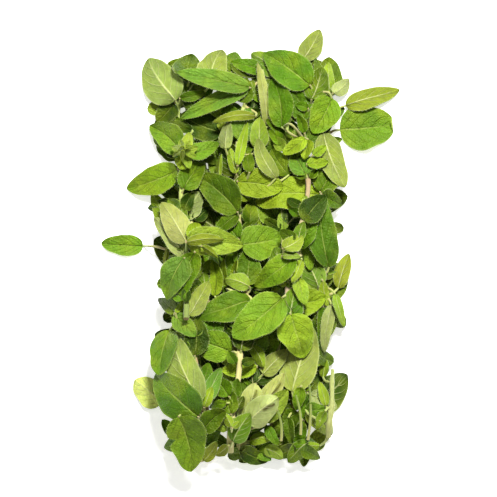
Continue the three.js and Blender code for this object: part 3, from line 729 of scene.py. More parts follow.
def smooth_between(stations, values, at):
    """Values between stations, on a curve that doesn't overshoot them."""
    gaps = np.diff(stations)
    slopes = np.diff(values, axis=0) / gaps[:, None]
    lean = np.zeros_like(values)
    lean[0], lean[-1] = slopes[0], slopes[-1]
    before, after = slopes[:-1], slopes[1:]
    same = before * after > 0
    total = np.where(same, before + after, 1)
    lean[1:-1] = np.where(same, 2 * before * after / total, 0)
    k = np.clip(np.searchsorted(stations, at, side="right") - 1, 0, len(gaps) - 1)
    t = ((at - stations[k]) / gaps[k])[:, None]
    gap = gaps[k][:, None]
    rise = 3 * t ** 2 - 2 * t ** 3
    start = (t ** 3 - 2 * t ** 2 + t) * gap * lean[k]
    end = (t ** 3 - t ** 2) * gap * lean[k + 1]
    return between(values[k], values[k + 1], rise) + start + end


def blade_points(leaf, u, s):
    """Where points of a leaf lie, in millimetres, from their shares u along it and s across it."""
    flat = np.abs(s)
    q = leaf.quirks
    slow = np.sin(2 * np.pi * (SWAY_WAVES[0] * u + q[0]) + s)
    sway = slow + QUICK_SHARE * np.sin(2 * np.pi * (SWAY_WAVES[1] * u + q[1]) - s)
    near_tip = np.clip((u - TIP_FROM) / (1 - TIP_FROM), 0, 1)
    full = 1 + (TIP_FULL + TIP_VARY * (q[5] - 0.5)) * near_tip ** 2 * (3 - 2 * near_tip)
    half = BROAD * leaf.width / 2 * outline(u) * full * (1 + MARGIN_SWAY * sway * flat ** 2)
    if leaf.oddity == "notched":
        notch = np.exp(-(((u - NOTCH_AT) / NOTCH_WIDE) ** 2))
        half = half * (1 - NOTCH_DEEP * notch * (s < 0) * flat ** 2)
    rib = leaf.arch * 4 * u * (1 - u)
    ripple = leaf.wave * np.sin(2 * np.pi * (WAVES * u + leaf.phase) - WAVE_SHIFT * s) * outline(u)
    own = rib + leaf.fold * half * flat + ripple * flat ** RIPPLE_EASE
    bends = smooth_between(leaf.stations, (leaf.level - leaf.rigid).reshape(-1, 3), u)
    bent = between(bends[:, 1], np.where(s > 0, bends[:, 0], bends[:, 2]), flat ** BEND_EASE)
    veins = (u - flat * (VEIN_SWEEP + VEIN_CURL * flat)) * VEIN_PAIRS
    swell = 0.5 - 0.5 * np.cos(2 * np.pi * veins)
    swell = swell * (1 - flat ** 3) * np.minimum(1, flat / SWELL_FROM) * outline(u)
    groove = np.exp(-((flat / GROOVE_HALF) ** 2)) * (1 - u)
    relief = leaf.width * (VEIN_SWELL * swell - VEIN_GROOVE * groove) * (-1 if leaf.turned else 1)
    crinkles = [
        np.sin(2 * np.pi * (wave * u + slant * s + shift))
        for wave, slant, shift in zip(CRINKLE_WAVES, CRINKLE_SLANTS, q[2:4])
    ]
    relief += leaf.width * CRINKLE * outline(u) * flat ** CRINKLE_EASE * sum(crinkles)
    height = leaf.base + own + bent + leaf.a * u * leaf.length + leaf.r * half * s + relief
    across = s * half + leaf.bow * 4 * u * (1 - u) + leaf.width * TIP_TURN * (q[4] - 0.5) * u ** 5
    along = u * leaf.length
    if leaf.oddity == "curled":
        over = np.clip(u - CURL_FROM, 0, 1) * leaf.length
        along = along - CURL_BACK * over
        height = height + np.minimum(CURL_UP * over, CURL_MOST)
    x = leaf.x + leaf.along_x * along - leaf.along_y * across
    y = leaf.y + leaf.along_y * along + leaf.along_x * across
    return np.stack([x, y, np.maximum(height, TOUCH)], axis=1)


def tint(code, following, amount):
    """A tone with a little of the difference that leaves of one plant show."""
    light = 1 + amount * (following() - 0.5)
    warm = 1 + 0.5 * amount * (following() - 0.5)
    red, green, blue, _ = colour(code)
    return (red * light * warm, green * light, blue * light / warm, 1.0)


def add_blade(leaf, tone):
    """Copies a blank, bends it to a leaf's place and gives both faces their tone."""
    young = leaf.seed >= YOUNG_SEED
    blank, u, s = blanks["young" if young else "large" if leaf.width >= LARGE_LEAF else "small"]
    blade = own_copy(blank)
    placed = blade_points(leaf, u, -s if leaf.turned else s) * MM
    blade.data.vertices.foreach_set("co", placed.ravel())
    following = draws(leaf.seed + TONE_SEED)
    shown = tint(TONES[tone.split(" ")[0]], following, SHOWN_VARY)
    upper = tint(HIDDEN_UPPER, following, HIDDEN_VARY) if leaf.turned else shown
    under = shown if leaf.turned else tint(HIDDEN_UNDER, following, HIDDEN_VARY)
    q = leaf.quirks
    # The tone swells and fades along the blade and one half is lighter than the other: partly the leaf's own
    # uneven tone, partly painted light and shade of a folded blade.
    uneven_and_shaded = 1 + UNEVEN_TONE_AND_SHADE * np.sin(2 * np.pi * (0.8 * u + q[6])) + 2 * UNEVEN_TONE_AND_SHADE * (q[7] - 0.5) * s
    uneven_and_shaded = np.stack([uneven_and_shaded, uneven_and_shaded, uneven_and_shaded, np.ones(len(u))], axis=1)
    upper, under = uneven_and_shaded * upper, uneven_and_shaded * under
    if leaf.oddity == "bruised":
        streak = (s - BRUISE_ASIDE - BRUISE_SLANT * (u - BRUISE_START)) / BRUISE_WIDE
        near = np.abs(u - BRUISE_AT) < BRUISE_REACH
        share = (BRUISE_SHARE * np.exp(-(streak ** 2)) * near)[:, None]
        under = under + (np.array(colour(BRUISE_COLOUR)) - under) * share
    blade.data.attributes["upper_tone"].data.foreach_set("color", upper.ravel())
    blade.data.attributes["under_tone"].data.foreach_set("color", under.ravel())
    return blade


def join_pieces(name, parts):
    """Joins parts in one object that sits at the origin."""
    bpy.ops.object.select_all(action="DESELECT")
    for part in parts:
        part.select_set(True)
    bpy.context.view_layer.objects.active = parts[0]
    if len(parts) > 1:
        bpy.ops.object.join()
    whole = bpy.context.object
    whole.name = name
    whole.data.name = name
    return whole


def thicken_blades(blades):
    """Gives the blades their thickness, with the underside's skin on the lower face."""
    solid = blades.modifiers.new("blade_thickness", "SOLIDIFY")
    solid.thickness = BLADE_THICK * MM
    solid.offset = 0
    solid.material_offset = 1
    bpy.context.view_layer.objects.active = blades
    bpy.ops.object.modifier_apply(modifier=solid.name)
    bpy.ops.object.select_all(action="DESELECT")
    blades.select_set(True)
    bpy.ops.object.shade_smooth_by_angle(angle=math.radians(SMOOTH_BLADE))


# The stems and stalks
# The stem is square, as in all herbs of this family, with rounded corners, swollen where leaves leave it,
# downy, pale green to straw and flushed red-brown in places. Its cut foot shows pale pith, brown in patches.
# Each stalk runs from the stem to the base of its leaf. Both are tubes rolled from a grid.
STEM_CELLS = (110, 16)
STALK_CELLS = (10, 8)
STALK_RADII = (0.62, 0.4)
CORNER_POWER = 3.6
SWELLING = 0.28
SWELLING_REACH = 2.2
STEM_SHARE = 0.94
HEADING_STEP = 0.004
STALK_POWER = 2.2
STREAK_STRETCH = (14.0, 9.0, 1.0)
STREAK_SCALE = 1.6
STREAK_RANGE = (0.3, 0.7, 0.72, 1.2)
STREAK_RELIEF = 0.2
STREAK_STRENGTH = 0.4
STEM_ROUGHNESS = 0.6
STEM_SHEEN = 0.2
PITH_SIZE = 0.8
PITH_COLOUR = "#C9B98A"
CUT_COLOUR = "#7A5B34"
STALK_END = "#A9B85C"
SMOOTH_STEM = 55


def stem_material():
    """Stem skin: its own tone along its length, with fine lengthwise streaks."""
    material, tree, shader = new_material("herb_stem_skin_downy")
    own = add_node(tree, "Attribute", attribute_name="stem_tone")
    spot = add_node(tree, "UVMap", uv_map="blade")
    stretched = add_node(tree, "Mapping", {"Vector": spot, "Scale": STREAK_STRETCH})
    streaks = add_node(tree, "TexNoise", {"Vector": stretched, "Scale": STREAK_SCALE, "Detail": 5.0})
    shade = add_node(tree, "MapRange", [streaks, *STREAK_RANGE])
    bump_inputs = {"Strength": STREAK_STRENGTH, "Distance": STREAK_RELIEF * MM, "Height": streaks}
    set_inputs(shader, {
        "Base Color": add_node(tree, "VectorMath", {0: own, 3: shade}, operation="SCALE"),
        "Normal": add_node(tree, "Bump", bump_inputs),
        "Roughness": STEM_ROUGHNESS,
        "IOR": PLANT_IOR,
        "Sheen Weight": STEM_SHEEN,
    })
    return material


def dry_material(name, size, detail, first, second, roughness):
    """Cut pith or plant hair: matt, in patches of two tones that are as coarse as they need to be to show."""
    material, tree, shader = new_material(name)
    place = add_node(tree, "TexCoord", out="Object")
    patches = add_node(tree, "TexNoise", {"Vector": place, "Scale": 1 / (size * MM), "Detail": detail})
    tones = {0: patches, 6: colour(first), 7: colour(second)}
    patched = add_node(tree, "Mix", tones, 2, data_type="RGBA")
    set_inputs(shader, {"Base Color": patched, "Roughness": roughness})
    return material


stem_skin = stem_material()
cut_pith = dry_material("herb_stem_cut_pith", PITH_SIZE, 3.0, PITH_COLOUR, CUT_COLOUR, 0.8)


def model_tube(name, cells):
    """A grid rolled to a closed tube of unit length, capped at both ends."""
    tube = add_grid(name, cells)
    mesh = tube.data
    flat = points_of(mesh)
    turn = flat[:, 1] * np.pi
    rolled = np.stack([(flat[:, 0] + 1) / 2, np.cos(turn), np.sin(turn)], axis=1)
    mesh.vertices.foreach_set("co", rolled.ravel())
    mesh.materials.append(stem_skin)
    mesh.materials.append(cut_pith)
    bpy.ops.object.mode_set(mode="EDIT")
    bpy.ops.mesh.select_all(action="SELECT")
    bpy.ops.mesh.remove_doubles(threshold=1e-4)
    bpy.ops.mesh.select_all(action="DESELECT")
    bpy.ops.mesh.select_non_manifold()
    bpy.ops.mesh.fill_holes(sides=cells[1])
    bpy.ops.mesh.select_all(action="SELECT")
    bpy.ops.mesh.normals_make_consistent(inside=False)
    bpy.ops.object.mode_set(mode="OBJECT")
    for face in mesh.polygons:
        if len(face.vertices) > 4:
            face.material_index = 1
    mesh.attributes.new("stem_tone", "FLOAT_COLOR", "POINT")
    return tube, points_of(mesh)


stem_blank = model_tube("stem_blank", STEM_CELLS)
stalk_blank = model_tube("stalk_blank", STALK_CELLS)


def frame_along(stations, points, t, step):
    """Places along a path, its heading there and the level direction across it."""
    centre = smooth_between(stations, points, t)
    ahead = smooth_between(stations, points, np.minimum(t + step, 1))
    behind = smooth_between(stations, points, np.maximum(t - step, 0))
    heading = unit(ahead - behind)
    across = unit(np.stack([-heading[:, 1], heading[:, 0], np.zeros(len(t))], axis=1))
    return centre, heading, across


def line_of(path):
    """A stem's path as shares of the way and points."""
    return np.array([p[3] for p in path]) / path[-1][3], np.array([p[:3] for p in path])


def add_tube(blank, stations, points, radius_at, power, tones):
    """Copies a rolled tube and runs it along a smooth path; tones are (share of the way, colour)."""
    tube = own_copy(blank[0])
    t, side, up = blank[1].T
    centre, heading, across = frame_along(stations, points, t, HEADING_STEP)
    over = np.cross(heading, across)
    squared = (np.abs(side) ** power + np.abs(up) ** power) ** (-1 / power)
    radius = radius_at(t) * squared
    placed = centre + across * (side * radius)[:, None] + over * (up * radius)[:, None]
    tube.data.vertices.foreach_set("co", (placed * MM).ravel())
    where = np.array([share for share, _ in tones])
    shades = np.array([colour(code) for _, code in tones])
    along = np.stack([np.interp(t, where, shades[:, i]) for i in range(4)], axis=1)
    tube.data.attributes["stem_tone"].data.foreach_set("color", along.ravel())
    return tube


def add_stem(path, radii, roots, tones):
    """A sprig's stem, swollen where its leaves leave it."""
    total = path[-1][3]

    def radius_at(t):
        swollen = np.zeros(len(t))
        for s in roots:
            swollen = np.maximum(swollen, np.exp(-(((t * total - s) / SWELLING_REACH) ** 2)))
        return between(*radii, t) * (1 + SWELLING * swollen) * STEM_SHARE

    return add_tube(stem_blank, *line_of(path), radius_at, CORNER_POWER, tones)


def add_stalk(points, tones):
    """A leaf's stalk."""

    def radius_at(t):
        return between(*STALK_RADII, t)

    shares = np.linspace(0, 1, len(points))
    return add_tube(stalk_blank, shares, np.array(points), radius_at, STALK_POWER, tones)


# The down
# Short pale matt hairs stand along the margins of the leaves and on the stems, as on all young growth of
# this herb. Real ones are finer: these are as thick as they need to be to show as a pale fringe.
HAIR_GAP = 0.8
HAIR_REACH = (0.4, 0.9)
HAIR_HALF = 0.04
THIRD_TURN = 2.0944
HAIR_SEED = 70000
FEWEST_HAIRS = 6
MARGIN_ENDS = 0.02
MARGIN_WITHIN = 0.86
MARGIN_AHEAD = 0.05
HAIR_LEAN = (0.8, 0.6)
STEM_HAIRS = 2.2
STEM_HAIR_SHARE = 0.55
STEM_HAIR_ROOT = 0.95
STEM_HAIR_STEP = 0.01
STEM_HAIR_SEED = 60000
HAIR_PATCH = 6.0
HAIR_COLOUR = "#DADFC4"
SHADED_HAIR = "#B9C48E"
TABLE_CLEAR = 0.02

plant_down = dry_material("plant_down_pale", HAIR_PATCH, 2.0, HAIR_COLOUR, SHADED_HAIR, 0.7)


def margin_hairs(leaf):
    """Where the hairs of one leaf stand, and where each one points."""
    following = draws(leaf.seed + HAIR_SEED)
    count = max(FEWEST_HAIRS, round(leaf.length / HAIR_GAP))
    roots, ways = [], []
    for side in (-1, 1):
        spread = np.array([(i + following()) / count for i in range(count)])
        u = spread * (1 - 2 * MARGIN_ENDS) + MARGIN_ENDS
        edge = blade_points(leaf, u, np.full(count, float(side)))
        within = blade_points(leaf, u, np.full(count, MARGIN_WITHIN * side))
        ahead = blade_points(leaf, np.minimum(u + MARGIN_AHEAD, 1), np.full(count, float(side)))
        reach = np.array([between(*HAIR_REACH, following()) for _ in range(count)])
        roots.append(edge)
        lean_out, lean_on = HAIR_LEAN[0] * unit(edge - within), HAIR_LEAN[1] * unit(ahead - edge)
        ways.append((lean_out + lean_on) * reach[:, None])
    return np.concatenate(roots), np.concatenate(ways)


def stem_hairs(path, radii, seed):
    """Where the hairs of one stem stand, and where each one points."""
    following = draws(seed)
    count = round(STEM_HAIRS * path[-1][3] / HAIR_GAP)
    t = np.array([following() for _ in range(count)])
    turn = np.array([2 * np.pi * following() for _ in range(count)])[:, None]
    centre, heading, across = frame_along(*line_of(path), t, STEM_HAIR_STEP)
    out = across * np.cos(turn) + np.cross(heading, across) * np.sin(turn)
    radius = between(*radii, t)[:, None] * STEM_HAIR_ROOT
    return centre + out * radius, out * STEM_HAIR_SHARE * HAIR_REACH[1]


def add_down(name, roots, ways):
    """One object of three-sided spikes, each closed at its foot."""
    heading = unit(ways)
    aside = unit(np.cross(heading, np.where(np.abs(heading[:, 2:]) < 0.9, [[0, 0, 1.0]], [[1.0, 0, 0]])))
    over = np.cross(heading, aside)
    turns = [THIRD_TURN * i for i in range(3)]
    corners = [roots + HAIR_HALF * (aside * math.cos(turn) + over * math.sin(turn)) for turn in turns]
    verts = np.stack([*corners, roots + ways], axis=1).reshape(-1, 3)
    verts = np.maximum(verts, [-np.inf, -np.inf, TABLE_CLEAR]) * MM
    shape = np.array([(0, 2, 1), (0, 1, 3), (1, 2, 3), (2, 0, 3)])
    faces = (shape[None] + 4 * np.arange(len(roots))[:, None, None]).reshape(-1, 3)
    mesh = bpy.data.meshes.new(name)
    mesh.from_pydata(verts.tolist(), [], faces.tolist())
    mesh.materials.append(plant_down)
    down = bpy.data.objects.new(name, mesh)
    bpy.context.collection.objects.link(down)
    return down


# The young leaves
# Where leaves leave a stem, pairs of very small young ones grow in their axils, all along it. They lie close
# on what is under them, between the larger blades. A sprig may also have some at places of their own, a tuft
# of buds at its tip, and short stalks beside its foot that were stripped of their leaves.
AXIL_STEP = 9.0
AXIL_LEAF = (5.0, 4.5)
AXIL_WIDTH_SHARE = 0.56
AXIL_PLACE = (0.1, 0.8)
AXIL_TURN = (0.25, 0.9)
AXIL_OVER_TURN = 0.4
AXIL_ASIDE = 1.4
AXIL_ASIDE_TURN = 1.2
AXIL_SINK = 0.3
AXIL_UNDER = 0.2
AXIL_SEED = 80000
# Painted shade: the young leaves lie under and between the larger blades, so they are mostly given dark
# tones.
AXIL_SHADED_TONES = ["dark", "shade", "deep", "young", "shade", "mid", "dark"]
CROWD_LEAF = (8.0, 4.0)
CROWD_TURN = 1.6
BUD_LEAF = (5.0, 2.5)
BUD_STEP = 2.4
BUD_TURN = 0.5
BUD_SHRINK = 0.25
BUD_RING = 0.8
BUD_SEED = 85000
BUD_FIRST = 60
SEEDS_APART = 100
STRIPPED_POINTS = 5
STRIPPED_BOW = 0.9
STRIPPED_TONES = [(0, "#9F9C5A"), (0.5, "#8D9A48"), (1, "#738832")]
LOOSE_PRESS = 2


def lay_young(x, y, angle, length, face, foot, seed):
    """Lays one young leaf close on what is under it."""
    tip = moved(x, y, angle, length)
    leaf = Leaf((x, y, *tip, length * AXIL_WIDTH_SHARE, face), YOUNG_SEED + seed)
    leaf.lay(LOOSE_PRESS, foot)
    leaf.base -= AXIL_SINK
    return leaf


def young_leaves(path, order, crowd):
    """The young leaves of one laid stem: those at places of their own, and the pairs along it."""
    following = draws(AXIL_SEED + order)
    total = path[-1][3]
    places = []
    for x, y in crowd:
        angle = (0 if following() < 0.5 else math.pi) + CROWD_TURN * (following() - 0.5)
        length = drawn(CROWD_LEAF, following)
        places.append((*moved(x, y, angle, -length / 2), angle, length, None))
    pairs = round(total / AXIL_STEP)
    for pair in range(pairs):
        s = total * (pair + AXIL_PLACE[0] + AXIL_PLACE[1] * following()) / pairs
        foot, ahead, behind = (path_at(path, at) for at in (s, min(total, s + 1), max(0, s - 1)))
        heading = math.atan2(ahead[1] - behind[1], ahead[0] - behind[0])
        for side in (-1, 1):
            over = side < 0 and pair % 2 == 0
            turn = AXIL_OVER_TURN * (following() - 0.5) if over else side * drawn(AXIL_TURN, following)
            place = moved(*foot[:2], heading + side * AXIL_ASIDE_TURN, 0 if over else AXIL_ASIDE)
            places.append((*place, heading + turn, drawn(AXIL_LEAF, following), foot))
    young = []
    kept = heap.copy()
    for x, y, angle, length, foot in places:
        face = "under" if following() < AXIL_UNDER else "upper"
        tone = AXIL_SHADED_TONES[(len(young) + order) % len(AXIL_SHADED_TONES)]
        leaf = lay_young(x, y, angle, length, face, foot, SEEDS_APART * order + len(young))
        young.append((leaf, tone))
        heap[:] = kept
    return young


def bud_leaves(path, order, count):
    """The tuft of very small leaves that tops a shoot, each over the one before."""
    following = draws(BUD_SEED + order)
    kept = heap.copy()
    bud = []
    for i in range(count):
        angle = BUD_STEP * i + BUD_TURN * following()
        length = drawn(BUD_LEAF, following) - BUD_SHRINK * i
        place = moved(*path[-1][:2], angle, BUD_RING)
        leaf = lay_young(*place, angle, length, "upper", None, SEEDS_APART * order + BUD_FIRST + i)
        bud.append((leaf, "young"))
    heap[:] = kept
    return bud


def bare_stalk(x, y, top_x, top_y):
    """A stripped stalk that lies on the heap: its points, spread evenly along it."""
    share = np.linspace(0, 1, STRIPPED_POINTS)
    xs = between(x, top_x, share) + STRIPPED_BOW * np.sin(np.pi * share)
    ys = between(y, top_y, share)
    under = np.array([heap[cells_around(*spot, STALK_RADII[0])].max() for spot in zip(xs, ys)])
    even = np.polyval(np.polyfit(share, under, 1), share)
    return np.stack([xs, ys, even + max(0, (under - even).max()) + STALK_RADII[0]], axis=1)


# The inner sprigs
# Five leafy stems under those that show, fanned out from the feet, with leaves in opposite pairs, every
# second pair above and below the stem. The photograph shows only scraps of them, so they follow a rule. Each
# sprig grew as one: its blades, its stem with the stalks, and its down ride together.
INNER_PLACES = [0, -1, 1, -0.55, 0.55]
INNER_FOOT_Y = (-90, 5)
INNER_FOOT_GAP = 17
INNER_FOOT_VARY = 4
INNER_TIP_Y = 76
INNER_TIP_BACK = 6
INNER_TIP_SHORT = 8
INNER_TIP_LATER = 1.2
INNER_TIP_GAP = 24
INNER_TIP_VARY = 8
INNER_BEND = 5
INNER_PARTS = 7
INNER_PAIRS = 7
INNER_FIRST_PAIR = 0.12
INNER_PAIR_SPAN = 0.84
INNER_PAIR_VARY = 0.02
INNER_STEM = (1.3, 0.6)
INNER_LEAF = (23, 16)
INNER_LEAF_SHARE = (0.85, 0.3)
INNER_STALK = (2.5, 2)
INNER_LEVEL_TURN = (0.9, 0.45)
INNER_STEEP_TURN = (0.15, 0.4)
INNER_UNDER = 0.35
LEAST_REACH = 7
CUT_REACH = 3
LEAF_WIDTH_SHARE = 0.64
INNER_SEEDS = [9781, 12663, 15875, 19159, 21521]
INNER_PRESS = 6
# Painted shade: the inner leaves lie deep in the bunch, so they are mostly given dark tones for the shade
# there.
INNER_SHADED_TONES = ["dark", "mid", "shade", "dark", "shade", "dull"]
BODY_HALF = 41
BODY_TIP = 85
BODY_FOOT = -93
BODY_TAPER = 30
TIP_TAPER = 12
FOOT_TAPER = 14


def grow_sprig(name, order, stem, radii, leaves, press, tones, crowd=(), bud=0, bare=False, stripped=()):
    """Lays a sprig on those before it, and makes its blades, its stem with the stalks, and its down."""
    earlier = heap.copy()
    roots = [root_of(stem, spec) for spec in leaves]
    laid = []

    def lay_leaves(lower, path=None):
        for i, spec in enumerate(leaves):
            if (spec[-1] == "below") == lower:
                leaf = Leaf(spec, SEEDS_APART * order + i)
                leaf.lay(press, path_at(path, roots[i]) if path else None)
                laid.append((leaf, roots[i], spec[6]))

    lay_leaves(True)
    path = lay_stem(stem, radii)
    young = [] if bare else young_leaves(path, order, crowd)
    lay_leaves(False, path)
    young += bud_leaves(path, order, bud)
    green = [add_stem(path, radii, roots, tones)]
    green += [add_stalk(bare_stalk(*line), STRIPPED_TONES) for line in stripped]
    blades = []
    for leaf, root, tone in laid:
        stalk = lay_stalk(path_at(path, root), leaf, earlier)
        nearest = tones[min(len(tones) - 1, round(root / path[-1][3]))][1]
        green.append(add_stalk(stalk, [(0, nearest), (1, STALK_END)]))
        blades.append(add_blade(leaf, tone))
    blades += [add_blade(leaf, tone) for leaf, tone in young]
    leafage = join_pieces(name + "_leaves", blades)
    thicken_blades(leafage)
    stalks = join_pieces(name + "_stem", green)
    bpy.ops.object.shade_smooth_by_angle(angle=math.radians(SMOOTH_STEM))
    spots = [margin_hairs(leaf) for leaf, *_ in laid] + [stem_hairs(path, radii, STEM_HAIR_SEED + order)]
    down = add_down(name + "_down", *(np.concatenate(part) for part in zip(*spots)))
    for piece in (leafage, stalks, down):
        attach(piece, "root")
    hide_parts(name)
    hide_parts(name)


def half_width_at(y):
    """Half the width of the bunch's leafy body at a distance along it."""
    if y > BODY_TIP or y < BODY_FOOT:
        return 0
    to_tip = min(1, (BODY_TIP - y) / BODY_TAPER)
    to_foot = min(1, (y - BODY_FOOT) / BODY_TAPER)
    return BODY_HALF - TIP_TAPER * (1 - to_tip) - FOOT_TAPER * (1 - to_foot)


def room_for(x, y, angle, length):
    """How far a leaf may reach before it leaves the outline of the bunch."""
    reach = length
    while reach > 0:
        tip = moved(x, y, angle, reach)
        if abs(tip[0]) < half_width_at(tip[1]):
            return reach
        reach -= 1
    return 0


def inner_sprig(index):
    """The stem points and leaves of one inner sprig."""
    following = draws(INNER_SEEDS[index])
    place = INNER_PLACES[index]
    foot_x = place * INNER_FOOT_GAP + INNER_FOOT_VARY * (following() - 0.5)
    tip_x = place * INNER_TIP_GAP + INNER_TIP_VARY * (following() - 0.5)
    foot_y = drawn(INNER_FOOT_Y, following)
    tip_y = INNER_TIP_Y - INNER_TIP_BACK * abs(place) - INNER_TIP_SHORT * following()
    tip_y += INNER_TIP_LATER * index
    bend = INNER_BEND * (following() - 0.5)
    stem = []
    for i in range(INNER_PARTS + 1):
        t = i / INNER_PARTS
        stem.append((between(foot_x, tip_x, t) + bend * 4 * t * (1 - t), between(foot_y, tip_y, t)))
    heading = math.atan2(tip_y - foot_y, tip_x - foot_x)
    leaves = []
    for pair in range(INNER_PAIRS):
        t = INNER_FIRST_PAIR + (INNER_PAIR_SPAN * pair) / (INNER_PAIRS - 1) + INNER_PAIR_VARY * following()
        k = min(INNER_PARTS - 1, math.floor(t * INNER_PARTS))
        x, y = (between(a, b, t * INNER_PARTS - k) for a, b in zip(stem[k], stem[k + 1]))
        level = (pair + index) % 2 == 0
        for side in (-1, 1):
            angle = heading + side * drawn(INNER_LEVEL_TURN if level else INNER_STEEP_TURN, following)
            length = between(*INNER_LEAF, t) * drawn(INNER_LEAF_SHARE, following)
            base = moved(x, y, angle, drawn(INNER_STALK, following))
            face = "under" if following() < INNER_UNDER else "upper"
            reach = min(length, room_for(*base, angle, length))
            if reach < LEAST_REACH:
                continue
            width = min(length, reach + CUT_REACH) * LEAF_WIDTH_SHARE
            tone = INNER_SHADED_TONES[(2 * pair + (side > 0) + index) % len(INNER_SHADED_TONES)]
            hung = "below" if not level and side > 0 and index > 0 else "above"
            leaves.append((*base, *moved(*base, angle, reach), width, face, tone, hung))
    return stem, leaves


for index in range(len(INNER_PLACES)):
    stem, leaves = inner_sprig(index)
    tones = [(0, "#A8A05A"), (1, "#8FA544")]
    grow_sprig(f"sprig_inner_{index + 1}", index, stem, INNER_STEM, leaves, INNER_PRESS, tones)


# The sprig along the right side
# The lowest of the sprigs that show, with the wide leaves that reach out to the right, the widest curled at
# its tip. Like most of them it has small leaves all along its stem, under the larger ones. Very small ones
# fill in between the larger leaves all over the bunch and in a row at its feet, over the inner sprigs.
COVER_STEP = 21
COVER_LEAF = (12, 4)
COVER_STALK = 2
COVER_TURN = (0.1, 0.5)
COVER_VARY = 0.5
COVER_UNDER = 0.4
COVER_SEED = 500
# Painted shade: these small leaves lie under the larger ones, so they are mostly given dark tones.
COVER_SHADED_TONES = ["deep", "dark", "shade", "dull", "dark"]


def cover_leaves(stem, seed):
    """Small leaves by rule along a stem: they lean along it, left and right in turn."""
    following = draws(seed)
    leaves = []
    side = 1
    for start, end in zip(stem, stem[1:]):
        length = math.dist(start, end)
        heading = math.atan2(end[1] - start[1], end[0] - start[0])
        count = max(1, math.floor(length / COVER_STEP + 0.5))
        for k in range(count):
            t = (k + COVER_VARY * following()) / count
            side = -side
            angle = heading + side * drawn(COVER_TURN, following)
            reach = drawn(COVER_LEAF, following)
            x, y = (between(a, b, t) for a, b in zip(start, end))
            base = moved(x, y, angle, COVER_STALK)
            face = "under" if following() < COVER_UNDER else "upper"
            tone = COVER_SHADED_TONES[len(leaves) % len(COVER_SHADED_TONES)]
            leaves.append((*base, *moved(*base, angle, reach), reach * LEAF_WIDTH_SHARE, face, tone))
    return leaves


def grow_shown(name, place, stem, radii, leaves, tones, cover=True, **young):
    """Grows one of the sprigs that show, the lowest having place 0."""
    small = cover_leaves(stem, COVER_SEED + place) if cover else []
    grow_sprig(name, len(INNER_PLACES) + place, stem, radii, small + leaves, LOOSE_PRESS, tones, **young)


GAP_PLACES = [
    (-18, 20), (7, 45), (8, 42), (-3, 76), (2, 66), (-15, 59), (-19, 38), (7, -44), (-13, -82), (-31, 79),
    (-33, -28), (-35.5, -15), (-39, 60), (-38.5, 18), (-34, -76), (29, -47), (34, -31), (34.5, 8), (33, -9),
    (27, -81),
]
FEET_ROW = [(x, -84) for x in range(-4, 31, 5)]
RIGHT_STEM = [
    (20, -81.5), (21.5, -66.5), (25.5, -43.5), (28.5, -21.5), (28, -15), (28.5, 4),
    (28.5, 21), (31, 38.5), (33.5, 64),
]
RIGHT_RADII = (1.3, 0.7)
RIGHT_LEAVES = [
    (23, -70.5, 33, -80, 9, "upper", "young"),
    (20.5, -75.5, 13, -87.5, 8, "upper", "mid"),
    (24, -65, 35, -69.5, 8.5, "upper", "chalk"),
    (19, -72, 9, -80, 9, "upper", "dark"),
    (21.5, 81, 29, 94.5, 9, "under", "sage"),
    (37, 51, 61, 53, 18.5, "upper", "bright curled"),
    (39.5, 61, 62.5, 68, 9, "under", "olive"),
    (33.5, 67, 33, 82.5, 10, "upper", "dark"),
    (31, 66, 27, 81, 4, "upper", "dark"),
    (33.5, 64, 32.5, 79, 5, "under", "lime"),
    (34, 65, 41, 73, 5.5, "under", "chalk"),
    (28.5, 20.5, 1.5, 19, 14, "upper", "lime"),
    # Painted shade: the next leaf is toned dark because it lies in a shaded gap.
    (28.5, 21.5, 34, 35, 10, "upper", "dark"),
    (29, 20, 37.5, 17, 6.5, "upper", "dark"),
    (29, 0, 19, 9, 10, "upper", "mid"),
    (23, 1, 24, -11.5, 5, "upper", "bright"),
    (36, -17.5, 41, -2.5, 6.5, "under", "olive"),
    (32, -10, 29, 19, 12, "upper", "deep"),
    (29.5, -27.5, 28, -46.5, 6, "upper", "mid"),
    (29.5, -16.5, 32, -27.5, 4, "under", "lime"),
    (14, -26, 31, -24, 12, "upper", "lime"),
    (33, -26.5, 29.5, -46, 5, "under", "pale"),
    (34.5, -22, 38, -35, 4, "under", "lime"),
    (16.5, -63.5, 25.5, -35, 14.5, "under", "sage"),
    (20, -62, 18, -71.5, 5, "upper", "mid"),
    (21.5, -86, 21, -92.5, 4.5, "upper", "dark"),
    (13, -86.5, 10, -89.5, 4, "under", "olive"),
    (15, -74.5, 17, -85, 4, "upper", "dark"),
    (19.5, -3, 25.5, 10.5, 7.5, "upper", "mid"),
]
grow_shown(
    "sprig_right", 0, RIGHT_STEM, RIGHT_RADII, RIGHT_LEAVES,
    [(0, "#B9A96A"), (0.35, "#8A5A48"), (0.6, "#7D4A40"), (1, "#9DB04C")], crowd=GAP_PLACES + FEET_ROW,
)


# The short stem at the lower right edge
# A pale lime stem cut at both ends, with a few very small leaves.
EDGE_STEM = [(31.5, -82), (32, -76), (33, -67.5), (33, -61.5), (33.5, -53)]
EDGE_RADII = (1.15, 0.8)
EDGE_LEAVES = [
    (22, -71.5, 30, -71.5, 5.5, "upper", "bright"),
    (30, -72.5, 27, -79.5, 4, "under", "lime"),
    (30.5, -70, 27.5, -59.5, 4, "under", "lime"),
    (29.5, -56, 30.5, -47.5, 3.5, "under", "lime"),
    (28, -85, 20, -85, 3, "under", "lime"),
]
grow_shown(
    "sprig_edge", 1, EDGE_STEM, EDGE_RADII, EDGE_LEAVES,
    [(0, "#A0A45E"), (1, "#97A055")], cover=False, bare=True,
)


